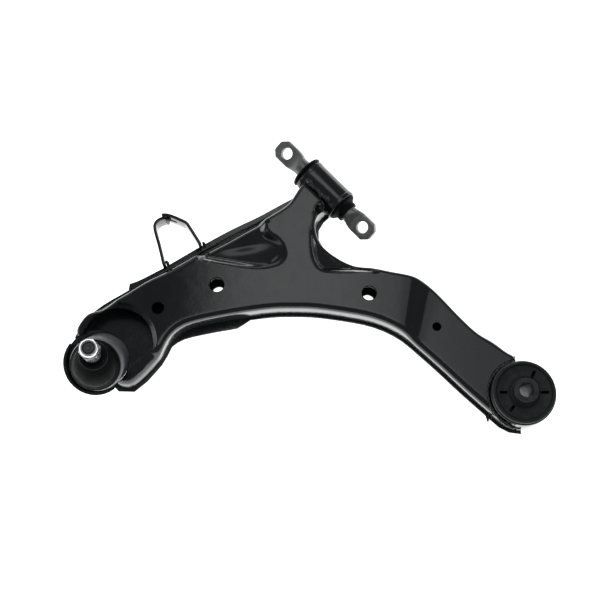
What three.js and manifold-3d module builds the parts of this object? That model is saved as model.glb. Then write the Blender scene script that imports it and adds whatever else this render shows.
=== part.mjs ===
// Stamped-steel lower control arm, millimetres, +Z up, lying on its lower side.
// +X runs from the ball joint to the rear bush, +Y towards the front bush.
import * as THREE from "three";
import { mergeVertices } from "three/addons/utils/BufferGeometryUtils.js";
import Module from "manifold-3d";

const wasm = await Module();
wasm.setup();

// ---------------------------------------------------------------- sizes
const FIT = 0.3; // clearance left between pieces that touch in the real part
const SHEET = 2.8; // thickness of both pressings

// Box section of the arm
const FLOOR_Z = 8; // underside of the lower pressing
const FRONT_TOP_Z = 46; // top face from the ball joint to the bend
const REAR_TOP_Z = 36; // top face from the bend to the rear bush
const BEND_START_X = 98; // where the top face starts to step down
const BEND_END_X = 132; // where it has reached the rear level
const EDGE_R = 4; // rolled edge of the top face
const UPPER_INSET = 1.2; // upper pressing inside the nominal outline
const LEDGE = 1.5; // lower pressing outside the nominal outline
const UPSTAND = 9; // inner lip of the lower pressing, above its floor
const WEST_DROP = 12; // fall of the top face to the open end round the ball joint
const WEST_TOP_Z = FRONT_TOP_Z - WEST_DROP;
const WEST_DROP_X = -178; // where the top face starts to fall towards that end

// Round holes of the pressings: x, y, radius, and whether the lower one has it too
const HOLES = [
  { x: -92.8, y: -8.8, r: 7.2, through: true },
  { x: 64, y: -17.6, r: 7.2, through: true },
  { x: 133.6, y: -50.6, r: 4, through: false },
  { x: -153.1, y: -33, r: 6, through: false },
];

// Pressed pockets: depth of the floor at its inner and outer side
const POCKET_DEPTH_IN = 3;
const POCKET_DEPTH_OUT = 17;
const NECK_DEPTH_IN = 2.5;
const NECK_DEPTH_OUT = 15;

// Front bush: horizontal axis through its centre, turned clockwise from +X
const FRONT = new THREE.Vector3(19.6, 101, 27);
const SWING_DEG = -46.1; // direction of the swing axis seen from above
const TUBE_R = 17.6;
const TUBE_WALL = 2.8;
const TUBE_HALF = 25;
const TUBE_BAND = 4; // raised band at each end of the tube
const TUBE_BAND_STEP = 0.5;
const SLEEVE_WALL = 1.6;
const BAR_R = 9.4;
const BAR_ROUND_HALF = TUBE_HALF + 13; // half the length of the round middle
const EYE_PITCH = 115.2;
const EYE_END = 13.4; // metal of each eyelet beyond the middle of its eye
const BAR_HALF = EYE_PITCH / 2 + EYE_END; // half the length over both eyelets
const EYE_R = 6.4;
const EYELET_W = 22.6;
const EYELET_T = 9.4;
const EYELET_CHAMFER = 6;
const BAR_TURN_DEG = 25; // the flats lean about the bar's own axis
const RUBBER_DISC_R = TUBE_R + 0.8;
const RUBBER_DISC_T = 5;
const RUBBER_NECK = 10.5;

// Rear bush: upright axis
const REAR = new THREE.Vector2(218.7, -120.5);
const RING_R = 33.2;
const RING_WALL = 2.8;
const RING_Z0 = 4;
const RING_TOP = 41;
const REAR_SLEEVE_WALL = 2;
const REAR_FLANGE_R = RING_R - 1.2;
const REAR_FLANGE_TOP = 46.5;
const REAR_RIM = 4.4; // raised rim of the rubber flange
const REAR_DISH = 2; // the rubber is dished inside its rim
const REAR_INNER_R = 12;
const REAR_BORE_R = 7;
const REAR_INNER_Z0 = 0;
const REAR_INNER_TOP = 58;
const SLOT_DEG = [0, 62, 180, 232]; // relief slots in the rubber
const SLOT_IN = REAR_INNER_R + 4.5;
const SLOT_OUT = RING_R - 8.2;
const SLOT_W = 3;
const SLOT_DEPTH = 14;
const ARC_CUT_R = RING_R + 3.6; // the top face stops short of the ring by the weld
const ARC_CUT_DEPTH = 6; // below this the pressings reach the ring

// Ball joint: the housing leans, the stud stands nearly upright
const BALL = new THREE.Vector3(-213.4, -88.6, 35);
const HOUSING_LEAN = new THREE.Vector3(-0.055, -0.36, 0.93);
const STUD_LEAN = new THREE.Vector3(0.02, 0.03, 1);
const BALL_R = 13.5;
const HOUSING_R = 27.6;
const HOUSING_GAP = 1; // the upper pressing is cut clear of the housing by this
const HOUSING_LOW = -26.5;
const HOUSING_TOP = 13.6;
const SHOULDER_R = HOUSING_R - 3; // radius above the housing's rounded shoulder
const GROOVE_R = HOUSING_R - 5.3; // seat of the dust boot's lower edge
const SEAT_R = BALL_R + 3.9;
const SEAT_TOP = 7; // low enough to clear the stud's neck at both ends of its swing
const SEAT_LOW = -BALL_R - 0.6;
const CAP_R = 20;
const CAP_T = 3.2;
const CAP_LIP = 2; // the lower pressing runs under the housing to this far from the cap
const STUD_NECK_R = 6;
const STUD_TAPER_R = 8.3;
const STUD_THREAD_R = 6;
const BOOT_TOP = 35; // height of the boot's upper edge over the ball centre
const BOOT_WALL = 1.9;
const TAPER_TOP = 45; // end of the stud's taper
const NUT_SEAT = 50; // where the nut bears on what the stud holds
const NUT_AF = 19;
const NUT_H = 10;
const NUT_COLLAR_R = 9.2;
const NUT_COLLAR_H = 5.6;
const STUD_TOP = NUT_SEAT + NUT_H + NUT_COLLAR_H - 1.2;

// Cup of the lower pressing round the housing, and the opening above it
const CUP_OFFSET = new THREE.Vector2(-5.2, -2.2);
const CUP_GAP = 5.4; // the cup stands this far outside the housing
const CUP_R = HOUSING_R + CUP_GAP;
const CUP_LOW = -25.2;
const CUP_RIM = -8;
const NOTCH = 4; // the upper pressing is cut back this far above the cup's rim
const OPENING = new THREE.Vector2(-195.2, -69.1);
const OPENING_R = CUP_R + 5;

// Bracket: two bent strips that make a hoop on the edge of the arm
const STRIP_T = 3.4;
const STRIP_Z0 = 18;
const STRIP_W = 21;
const STRIP_SLOT_W = 5;
const STRIP_SLOT_L = 9;
const STRIP_SLOT = [-141, 67.4];
const WELD_R = 1.7;
const RING_WELD_R = 1.3;
const SEAM_R = 1.1;

// Nominal outline of the arm, seen from above, anticlockwise. The outlines are drawn
// for these two radii, and move outwards with a larger cup or ring.
const DRAWN_CUP_R = 33;
const DRAWN_RING_R = 33.2;
const GROWN_NEAR = 66; // points this near a seat move by all of its growth
const GROWN_FAR = 99; // and points this far from it stay
const SOUTH_EDGE = [
  [-166.7, -102.2], [-150.3, -82.5], [-143, -67], [-133.5, -55.5], [-116.5, -47.5],
  [-77.8, -39.2], [-38.9, -33.6], [-13.7, -32.8], [9.7, -33.6], [44, -38.4],
  [66, -43], [84.5, -50], [100.5, -59.5], [116, -73], [136, -91.5], [160, -114.8],
  [183, -136], [199, -150.5], [208, -155],
];
const NORTH_EDGE = [
  [211, -78], [189.5, -64.4], [174.3, -52.3], [159.1, -36.9], [143.8, -19.8],
  [132.3, -7.9], [122, -0.6], [112, 4], [98, 7], [84, 9.6], [66, 14.2], [47.8, 20],
  [34, 26], [23, 33.6], [14.6, 43.6], [11, 53], [12, 63], [17, 71],
];
const WEST_EDGE = [
  [-14, 94.5], [-30, 83.5], [-50, 71], [-74, 58], [-111, 37.5], [-150, 14.5],
  [-170, 4.5], [-191.2, -8.7], [-213, -21.9], [-229.7, -35.8], [-238.8, -48.9],
  [-241.4, -56.5],
];
const SOUTH_WEST_CORNER = [[-237.6, -61.8], [-194.6, -112.2], [-179.1, -112.6]];
const END_CORNER = [[218.3, -156.4], [216, -78]];
const NECK_REACH = 11; // the neck laps the tube up to this distance from its axis
const NECK_HALF = 20; // half the width of the neck along the tube
const NECK_BEAD_DEG = 63; // the weld bead lies this far up the tube's side

// Ledges of the lower pressing that show beside the upper one
const SOUTH_LEDGE = [
  [-146, -74], [-140.1, -65.4], [-129.1, -58.8], [-119.5, -55.9], [-96.4, -51],
  [-72.3, -46.5], [-66.1, -42.4], [-57, -33], [-80, -25], [-140, -40],
];
const WEST_LEDGE = [
  [-152.3, 19.2], [-175.6, 6.5], [-190.5, -1.1], [-170, -10], [-100, 20], [-20, 80],
  [-4, 100], [-7.7, 102.2], [-14.8, 97.5], [-30, 89], [-52.3, 76.2], [-78.7, 63],
  [-110.4, 45],
];

const POCKET_EDGE = [
  [-150, 26], [-110.7, 19], [-93.4, 15.6], [-67.6, 10.5], [-50.6, 8.2], [-37.7, 9.2],
  [-28.3, 12.8], [-22.3, 19.9], [-21.5, 27], [-24.9, 36.1], [-31.8, 43.3],
  [-39.7, 48.6], [-43.1, 54.1], [-41.4, 59.6], [-34, 72], [-30, 92], [-60, 92],
  [-120, 60],
];
const NECK_EDGE = [
  [26, 96], [16.3, 84.4], [9.3, 75.5], [5.2, 57.4], [3.7, 41.8], [4.2, 26.4],
  [6.2, 16.8], [11.1, 8.7], [20.7, 5], [42.4, 5], [66.1, 5.6], [86.7, 4.6],
  [104, 8], [96, 30], [50, 60], [34, 96],
];

// ---------------------------------------------------------------- helpers
const SMOOTH = 40; // facets round the large turned pieces
const FINE = 24; // facets round the small ones
const UP = new THREE.Vector3(0, 0, 1);
const HIGH = 200; // taller than the whole part

// A three.js geometry as a closed manifold-3d solid, moved by an optional matrix.
function solid(geometry, matrix) {
  const bare = geometry.index ? geometry.toNonIndexed() : geometry.clone();
  bare.deleteAttribute("normal");
  bare.deleteAttribute("uv");
  if (matrix) bare.applyMatrix4(matrix);
  const merged = mergeVertices(bare, 1e-4);
  const kept = [];
  const index = merged.index.array;
  for (let i = 0; i < index.length; i += 3) {
    const [a, b, c] = [index[i], index[i + 1], index[i + 2]];
    if (a !== b && b !== c && c !== a) kept.push(a, b, c);
  }
  return new wasm.Manifold(
    new wasm.Mesh({
      numProp: 3,
      vertProperties: merged.attributes.position.array,
      triVerts: new Uint32Array(kept),
    }),
  );
}

const joined = (...solids) => solids.reduce((a, b) => a.add(b));
const cut = (from, ...tools) => tools.reduce((a, b) => a.subtract(b), from);

// Places local z along an axis, with local x as near as it can be to a hint.
function placed(origin, axis, hint = new THREE.Vector3(1, 0, 0)) {
  const z = axis.clone().normalize();
  const x = hint.clone().addScaledVector(z, -hint.dot(z)).normalize();
  const y = new THREE.Vector3().crossVectors(z, x);
  return new THREE.Matrix4().makeBasis(x, y, z).setPosition(origin);
}

// A solid turned about local z from [radius, height] pairs, listed upwards on the
// outside and back down on the inside.
function turned(profile, matrix, facets = SMOOTH) {
  const points = profile.map(([r, z]) => new THREE.Vector2(r, z));
  const onAxis = profile[0][0] === 0 && profile.at(-1)[0] === 0;
  if (!onAxis) points.push(points[0].clone());
  const geometry = new THREE.LatheGeometry(points, facets);
  geometry.rotateX(Math.PI / 2);
  return solid(geometry, matrix);
}

const disc = (r, z0, z1, matrix, facets = SMOOTH) =>
  turned([[0, z0], [r, z0], [r, z1], [0, z1]], matrix, facets);

const pipe = (outer, inner, z0, z1, matrix, facets = SMOOTH) =>
  turned([[inner, z0], [outer, z0], [outer, z1], [inner, z1]], matrix, facets);

// An upright prism over a list of points.
function prism(points, z0, z1, bevel = 0) {
  const shape = new THREE.Shape(points.map(([x, y]) => new THREE.Vector2(x, y)));
  const geometry = new THREE.ExtrudeGeometry(shape, {
    depth: z1 - z0 - 2 * bevel,
    bevelEnabled: bevel > 0,
    bevelThickness: bevel,
    bevelSize: bevel,
    bevelOffset: -bevel,
    bevelSegments: 2,
    curveSegments: 1,
  });
  geometry.translate(0, 0, z0 + bevel);
  return solid(geometry);
}

// A solid with one outline in the x-z plane, running the full width of the arm.
function sideways(points) {
  const turn = new THREE.Matrix4().makeBasis(
    new THREE.Vector3(1, 0, 0),
    new THREE.Vector3(0, 0, 1),
    new THREE.Vector3(0, -1, 0),
  );
  const shape = new THREE.Shape(points.map(([x, z]) => new THREE.Vector2(x, z)));
  const geometry = new THREE.ExtrudeGeometry(shape, { depth: 2 * HIGH, bevelEnabled: false });
  geometry.translate(0, 0, -HIGH);
  return solid(geometry, turn);
}

function box(width, depth, height, matrix) {
  return solid(new THREE.BoxGeometry(width, depth, height), matrix);
}

// A smooth curve through points, as a list of evenly spaced points.
function smooth(points, spacing = 11) {
  const curve = new THREE.SplineCurve(points.map(([x, y]) => new THREE.Vector2(x, y)));
  const count = Math.max(2, Math.round(curve.getLength() / spacing));
  return curve.getSpacedPoints(count).map((p) => [p.x, p.y]);
}

// The outline moved outwards by a distance (inwards when negative).
function offset(points, distance) {
  const count = points.length;
  const area = points.reduce((sum, [x, y], i) => {
    const [nx, ny] = points[(i + 1) % count];
    return sum + x * ny - nx * y;
  }, 0);
  const side = area > 0 ? 1 : -1;
  return points.map(([x, y], i) => {
    const before = points[(i + count - 1) % count];
    const after = points[(i + 1) % count];
    const first = new THREE.Vector2(x - before[0], y - before[1]).normalize();
    const second = new THREE.Vector2(after[0] - x, after[1] - y).normalize();
    const miter = new THREE.Vector2(first.y + second.y, -first.x - second.x).normalize();
    const stretch = Math.min(2, 1 / Math.max(0.3, miter.dot(new THREE.Vector2(first.y, -first.x))));
    return [
      x + side * miter.x * distance * stretch,
      y + side * miter.y * distance * stretch,
    ];
  });
}

// A rod of round section along a list of 3-D points.
function rod(points, radius, facets = 8) {
  const section = new THREE.Shape();
  for (let i = 0; i < facets; i += 1) {
    const angle = (2 * Math.PI * i) / facets;
    const [x, y] = [radius * Math.cos(angle), radius * Math.sin(angle)];
    if (i === 0) section.moveTo(x, y);
    else section.lineTo(x, y);
  }
  const path = new THREE.CatmullRomCurve3(points.map((p) => new THREE.Vector3(...p)));
  const steps = Math.max(4, Math.round(path.getLength() / 6));
  return solid(
    new THREE.ExtrudeGeometry(section, { steps, bevelEnabled: false, extrudePath: path }),
  );
}

// A bent strip of constant thickness along a plan curve, standing upright.
function strip(points, thickness, z0, z1) {
  const line = smooth(points, 3);
  const sides = [1, -1].map((side) =>
    line.map(([x, y], i) => {
      const before = line[Math.max(0, i - 1)];
      const after = line[Math.min(line.length - 1, i + 1)];
      const along = new THREE.Vector2(after[0] - before[0], after[1] - before[1]).normalize();
      return [x - (side * along.y * thickness) / 2, y + (side * along.x * thickness) / 2];
    }),
  );
  return prism([...sides[0], ...sides[1].reverse()], z0, z1);
}

// ---------------------------------------------------------------- directions
const swing = (SWING_DEG * Math.PI) / 180;
const ALONG = new THREE.Vector3(Math.cos(swing), Math.sin(swing), 0);
const ACROSS = new THREE.Vector3().crossVectors(UP, ALONG);
const front = placed(FRONT, ALONG, ACROSS);
const rear = new THREE.Matrix4().makeTranslation(REAR.x, REAR.y, 0);
const housing = placed(BALL, HOUSING_LEAN);
const stud = placed(BALL, STUD_LEAN);
const cup = placed(
  BALL.clone().add(new THREE.Vector3(CUP_OFFSET.x, CUP_OFFSET.y, 0)),
  HOUSING_LEAN,
);

const onFront = (u, v) => {
  const point = FRONT.clone().addScaledVector(ALONG, u).addScaledVector(ACROSS, v);
  return [point.x, point.y];
};

// ---------------------------------------------------------------- pressings
// Moves the points near a round seat outwards by what it has grown.
function grown(points, centre, growth) {
  return points.map(([x, y]) => {
    const away = new THREE.Vector2(x - centre.x, y - centre.y);
    const reach = away.length();
    const share = 1 - THREE.MathUtils.smoothstep(reach, GROWN_NEAR, GROWN_FAR);
    away.multiplyScalar(1 + (share * growth) / reach);
    return [centre.x + away.x, centre.y + away.y];
  });
}

const drawn = (points) =>
  grown(grown(points, BALL, CUP_R - DRAWN_CUP_R), REAR, RING_R - DRAWN_RING_R);

const outline = drawn([
  ...SOUTH_WEST_CORNER,
  ...smooth(SOUTH_EDGE),
  ...END_CORNER,
  ...smooth(NORTH_EDGE),
  onFront(NECK_HALF, -NECK_REACH),
  onFront(-NECK_HALF - 1, -NECK_REACH),
  ...smooth(WEST_EDGE),
]);
const topZ = (z) => [
  [-HIGH * 2, -HIGH], [HIGH * 2, -HIGH], [HIGH * 2, REAR_TOP_Z + z],
  [BEND_END_X, REAR_TOP_Z + z], [BEND_END_X - 8, REAR_TOP_Z + 1.2 + z],
  [BEND_START_X + 8, FRONT_TOP_Z - 1.2 + z], [BEND_START_X, FRONT_TOP_Z + z],
  [WEST_DROP_X, FRONT_TOP_Z + z], [WEST_DROP_X - 20, FRONT_TOP_Z - 2 + z],
  [-HIGH * 1.25, WEST_TOP_Z + z], [-HIGH * 2, WEST_TOP_Z + z],
];

// A cutter over a plan region whose floor falls from one depth to another.
function pocket(points, grow, from, to, shallow, deep, lower) {
  const start = new THREE.Vector3(from[0], from[1], FRONT_TOP_Z - shallow - lower);
  const end = new THREE.Vector3(to[0], to[1], FRONT_TOP_Z - deep - lower);
  const slope = end.clone().sub(start);
  const level = new THREE.Vector3().crossVectors(UP, slope).normalize();
  const normal = new THREE.Vector3().crossVectors(slope, level).normalize();
  const block = box(4 * HIGH, 4 * HIGH, HIGH, placed(
    start.clone().addScaledVector(normal, HIGH / 2),
    normal,
    level,
  ));
  return prism(offset(smooth(points, 9), grow), -HIGH, HIGH).intersect(block);
}

// The filled body of the upper pressing, shrunk on all sides by a thickness.
function upperBody(shrink) {
  const edge = offset(outline, -UPPER_INSET - shrink);
  const bevel = EDGE_R - shrink;
  const tall = prism(edge, -HIGH, FRONT_TOP_Z - shrink, bevel);
  const low = prism(edge, -HIGH, REAR_TOP_Z - shrink, bevel);
  const body = joined(low, tall.intersect(sideways(topZ(-shrink))))
    .intersect(sideways([
      [-HIGH * 2, -HIGH], [HIGH * 2, -HIGH], [HIGH * 2, HIGH], [WEST_DROP_X + 8, HIGH],
      [WEST_DROP_X, FRONT_TOP_Z - shrink], [WEST_DROP_X - 20, FRONT_TOP_Z - 2 - shrink],
      [-HIGH * 1.25, WEST_TOP_Z - shrink], [-HIGH * 2, WEST_TOP_Z - shrink],
    ]));
  return cut(
    body,
    pocket(POCKET_EDGE, shrink, [-45, 15], [-80, 58], POCKET_DEPTH_IN, POCKET_DEPTH_OUT, shrink),
    pocket(NECK_EDGE, shrink, [6, 8], [34, 34], NECK_DEPTH_IN, NECK_DEPTH_OUT, shrink),
  );
}

const tubeSpace = (gap) => disc(TUBE_R + TUBE_BAND_STEP + gap, -TUBE_HALF * 2, TUBE_HALF * 2, front);
const rearSpace = (r) => disc(r, -HIGH, HIGH, rear);
const cupSpace = disc(CUP_R + FIT, CUP_LOW - 12, CUP_RIM + NOTCH, cup);
const upperFloor = FLOOR_Z + SHEET + FIT;
const below = (z) =>
  box(4 * HIGH, 4 * HIGH, 2 * HIGH, new THREE.Matrix4().makeTranslation(0, 0, z - HIGH));

let upperShell = cut(
  upperBody(0),
  upperBody(SHEET),
  below(upperFloor),
  disc(OPENING_R, -HIGH, HIGH, new THREE.Matrix4().makeTranslation(OPENING.x, OPENING.y, 0)),
  tubeSpace(FIT),
  disc(ARC_CUT_R, REAR_TOP_Z - ARC_CUT_DEPTH, HIGH, rear),
  rearSpace(RING_R + FIT),
  cupSpace,
  disc(HOUSING_R + HOUSING_GAP, -HIGH / 2, HIGH / 2, housing),
);
for (const hole of HOLES) {
  const at = new THREE.Matrix4().makeTranslation(hole.x, hole.y, 0);
  upperShell = upperShell.subtract(disc(hole.r, FRONT_TOP_Z - 25, HIGH, at, FINE));
}

const lipOut = offset(outline, -UPPER_INSET - SHEET - 2 * FIT);
const lipIn = offset(outline, -UPPER_INSET - 2 * SHEET - 2 * FIT);
const lowerPlan = joined(
  prism(offset(outline, LEDGE), FLOOR_Z, FLOOR_Z + SHEET),
  prism(drawn(smooth([...SOUTH_LEDGE, SOUTH_LEDGE[0]], 8).slice(0, -1)), FLOOR_Z, FLOOR_Z + SHEET),
  prism(drawn(smooth([...WEST_LEDGE, WEST_LEDGE[0]], 8).slice(0, -1)), FLOOR_Z, FLOOR_Z + SHEET),
);
const lip = cut(
  prism(lipOut, FLOOR_Z + 1, FLOOR_Z + SHEET + UPSTAND),
  prism(lipIn, FLOOR_Z, FLOOR_Z + SHEET + UPSTAND + 1),
);
const outerHalf = box(90, 90, 90, new THREE.Matrix4()
  .makeRotationZ(Math.PI / 4)
  .setPosition(BALL.x - 36, BALL.y - 36, BALL.z));
const cupWall = pipe(CUP_R, CUP_R - SHEET, CUP_LOW, CUP_RIM, cup).intersect(outerHalf);
let lowerShell = joined(
  cut(joined(lowerPlan, lip), disc(CUP_R - SHEET / 2, CUP_LOW + SHEET / 2, 60, cup)),
  disc(CUP_R, CUP_LOW, CUP_LOW + SHEET, cup),
  cupWall,
);
lowerShell = cut(
  lowerShell,
  disc(HOUSING_R + FIT, HOUSING_LOW - FIT, HIGH / 2, housing),
  disc(CAP_R + CAP_LIP, -HIGH / 2, HIGH / 2, housing),
  tubeSpace(FIT),
  rearSpace(RING_R + FIT),
);
for (const hole of HOLES.filter((h) => h.through)) {
  const at = new THREE.Matrix4().makeTranslation(hole.x, hole.y, 0);
  lowerShell = lowerShell.subtract(disc(hole.r, -HIGH, FLOOR_Z + SHEET + 1, at, FINE));
}

// ---------------------------------------------------------------- front bush
const bandR = TUBE_R + TUBE_BAND_STEP;
const tubeIn = TUBE_R - TUBE_WALL;
const bandStart = TUBE_HALF - TUBE_BAND;
const frontTube = turned([
  [tubeIn, -TUBE_HALF], [bandR - 0.8, -TUBE_HALF], [bandR, -TUBE_HALF + 0.8],
  [bandR, -bandStart], [TUBE_R, -bandStart + 0.5], [TUBE_R, bandStart - 0.5],
  [bandR, bandStart], [bandR, TUBE_HALF - 0.8], [bandR - 0.8, TUBE_HALF],
  [tubeIn, TUBE_HALF],
], front);
const sleeveOut = tubeIn - FIT;
const sleeveIn = sleeveOut - SLEEVE_WALL;
const frontSleeve = pipe(sleeveOut, sleeveIn, -TUBE_HALF + 1, TUBE_HALF - 1, front);
const rubberOut = sleeveIn - FIT;
const rubberIn = BAR_R + FIT;
const discIn = TUBE_HALF + FIT;
const frontRubber = turned([
  [rubberIn, -discIn - RUBBER_DISC_T], [RUBBER_DISC_R - 1.5, -discIn - RUBBER_DISC_T],
  [RUBBER_DISC_R, -discIn - RUBBER_DISC_T + 1.5], [RUBBER_DISC_R, -discIn - 1],
  [RUBBER_DISC_R - 1, -discIn], [rubberOut, -discIn], [rubberOut, discIn],
  [tubeIn + 1.6, discIn], [tubeIn + 1.2, discIn + 2], [BAR_R + 2.4, discIn + 4.5],
  [BAR_R + 1.8, discIn + RUBBER_NECK], [rubberIn, discIn + RUBBER_NECK],
], front);

// The bar lies along local z; its flats face local y after the turn below.
const barFrame = placed(
  FRONT,
  ALONG,
  ACROSS.clone().applyAxisAngle(ALONG, THREE.MathUtils.degToRad(BAR_TURN_DEG)),
);
const flatPlan = new THREE.Shape();
const halfW = EYELET_W / 2;
const flatStart = BAR_ROUND_HALF - 1;
[
  [flatStart, -BAR_R], [flatStart + 10, -halfW], [BAR_HALF - EYELET_CHAMFER, -halfW],
  [BAR_HALF, -halfW + EYELET_CHAMFER], [BAR_HALF, halfW - EYELET_CHAMFER],
  [BAR_HALF - EYELET_CHAMFER, halfW], [flatStart + 10, halfW], [flatStart, BAR_R],
].forEach(([u, w], i) => (i ? flatPlan.lineTo(w, u) : flatPlan.moveTo(w, u)));
const eyelet = new THREE.ExtrudeGeometry(flatPlan, {
  depth: EYELET_T - 2,
  bevelEnabled: true,
  bevelThickness: 1,
  bevelSize: 1,
  bevelOffset: -1,
  bevelSegments: 2,
});
eyelet.translate(0, 0, -EYELET_T / 2 + 1);
eyelet.applyMatrix4(new THREE.Matrix4().makeBasis(
  new THREE.Vector3(1, 0, 0),
  new THREE.Vector3(0, 0, 1),
  new THREE.Vector3(0, -1, 0),
));
const coneEnd = BAR_ROUND_HALF + 7;
const barRound = turned([
  [0, -coneEnd], [EYELET_T / 2 - 1, -coneEnd], [BAR_R, -BAR_ROUND_HALF],
  [BAR_R, BAR_ROUND_HALF], [EYELET_T / 2 - 1, coneEnd], [0, coneEnd],
], barFrame, FINE);
const half = new THREE.Matrix4().makeRotationY(Math.PI);
let bar = joined(
  barRound,
  solid(eyelet, barFrame),
  solid(eyelet, barFrame.clone().multiply(half)),
);
for (const side of [1, -1]) {
  const eyeAxis = new THREE.Vector3().setFromMatrixColumn(barFrame, 1);
  const eyeCentre = FRONT.clone().addScaledVector(ALONG, (side * EYE_PITCH) / 2);
  bar = bar.subtract(disc(EYE_R, -HIGH / 4, HIGH / 4, placed(eyeCentre, eyeAxis), FINE));
}

// ---------------------------------------------------------------- rear bush
const ringIn = RING_R - RING_WALL;
const rearRing = turned([
  [ringIn, RING_Z0], [RING_R - 0.8, RING_Z0], [RING_R, RING_Z0 + 0.8],
  [RING_R, RING_TOP - 0.8], [RING_R - 0.8, RING_TOP], [ringIn, RING_TOP],
], rear);
const rearSleeveOut = ringIn - FIT;
const rearSleeveIn = rearSleeveOut - REAR_SLEEVE_WALL;
const rearSleeve = pipe(rearSleeveOut, rearSleeveIn, RING_Z0 + 1, RING_TOP - 1, rear);
const flangeZ = RING_TOP + FIT;
const rearRubberOut = rearSleeveIn - FIT;
const rearRubberIn = REAR_INNER_R + FIT;
const rimIn = REAR_FLANGE_R - REAR_RIM;
const dishZ = REAR_FLANGE_TOP - REAR_DISH;
let rearRubber = turned([
  [rearRubberIn, RING_Z0 + 3], [rearRubberOut, RING_Z0 + 3], [rearRubberOut, flangeZ],
  [REAR_FLANGE_R - 1, flangeZ], [REAR_FLANGE_R, flangeZ + 1],
  [REAR_FLANGE_R, REAR_FLANGE_TOP - 1.4], [REAR_FLANGE_R - 1.4, REAR_FLANGE_TOP],
  [rimIn + 0.8, REAR_FLANGE_TOP], [rimIn, dishZ], [rearRubberIn + 2.4, dishZ],
  [rearRubberIn + 1.6, REAR_FLANGE_TOP + 0.6], [rearRubberIn, REAR_FLANGE_TOP + 0.6],
], rear);
for (const degrees of SLOT_DEG) {
  const turn = new THREE.Matrix4().makeRotationZ(THREE.MathUtils.degToRad(degrees));
  const shift = new THREE.Matrix4().makeTranslation((SLOT_IN + SLOT_OUT) / 2, 0, dishZ);
  const slot = box(SLOT_OUT - SLOT_IN, SLOT_W, 2 * SLOT_DEPTH,
    rear.clone().multiply(turn).multiply(shift));
  rearRubber = rearRubber.subtract(slot);
}
const rearInner = turned([
  [REAR_BORE_R, REAR_INNER_Z0], [REAR_INNER_R - 0.8, REAR_INNER_Z0],
  [REAR_INNER_R, REAR_INNER_Z0 + 0.8], [REAR_INNER_R, REAR_INNER_TOP - 0.8],
  [REAR_INNER_R - 0.8, REAR_INNER_TOP], [REAR_BORE_R, REAR_INNER_TOP],
], rear, FINE);

// ---------------------------------------------------------------- ball joint
const seatBore = SEAT_R + FIT;
const capBore = CAP_R + FIT;
const capSeat = SEAT_LOW - FIT;
const capLow = capSeat - CAP_T - FIT;
const housingSolid = turned([
  [seatBore, capSeat], [capBore, capSeat], [capBore, capLow], [capBore - 1.4, capLow - 0.4],
  [capBore - 1.4, HOUSING_LOW + 6], [capBore + 2, HOUSING_LOW], [HOUSING_R - 2, HOUSING_LOW],
  [HOUSING_R, HOUSING_LOW + 2], [HOUSING_R, 6.5], [HOUSING_R - 0.8, 8.4],
  [SHOULDER_R, 9.6], [GROOVE_R, 9.8], [GROOVE_R, HOUSING_TOP - 1], [GROOVE_R - 1, HOUSING_TOP],
  [17.2, HOUSING_TOP], [14.2, SEAT_TOP + FIT], [seatBore, SEAT_TOP + FIT],
], housing);
const ballArc = [];
const SEAT_GAP_R = BALL_R + FIT;
for (let z = SEAT_TOP; z > SEAT_LOW + 2; z -= 2.4) {
  ballArc.push([Math.sqrt(Math.max(0, SEAT_GAP_R ** 2 - z ** 2)), z]);
}
const seat = turned([
  [ballArc.at(-1)[0], SEAT_LOW], [SEAT_R, SEAT_LOW], [SEAT_R, SEAT_TOP],
  ...ballArc,
], housing);
const endCap = disc(CAP_R, capSeat - FIT - CAP_T + 0.1, capSeat - FIT, housing);

const ballProfile = [];
const BALL_STEPS = 10;
const BALL_FLAT = 10.5; // the ball is cut flat below
for (let i = 0; i <= BALL_STEPS; i += 1) {
  const low = Math.asin(-BALL_FLAT / BALL_R);
  const high = Math.acos(STUD_NECK_R / BALL_R);
  const angle = low + ((high - low) * i) / BALL_STEPS;
  ballProfile.push([BALL_R * Math.cos(angle), BALL_R * Math.sin(angle)]);
}
const ballStud = turned([
  [0, -BALL_FLAT], ...ballProfile,
  [STUD_NECK_R, 16], [STUD_NECK_R + 0.9, 24], [STUD_TAPER_R, 28], [STUD_TAPER_R, BOOT_TOP + 1],
  [STUD_THREAD_R + 1, TAPER_TOP], [STUD_THREAD_R, TAPER_TOP + 1],
  [STUD_THREAD_R, STUD_TOP - 1], [STUD_THREAD_R - 1, STUD_TOP], [0, STUD_TOP],
], stud, FINE);

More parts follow.
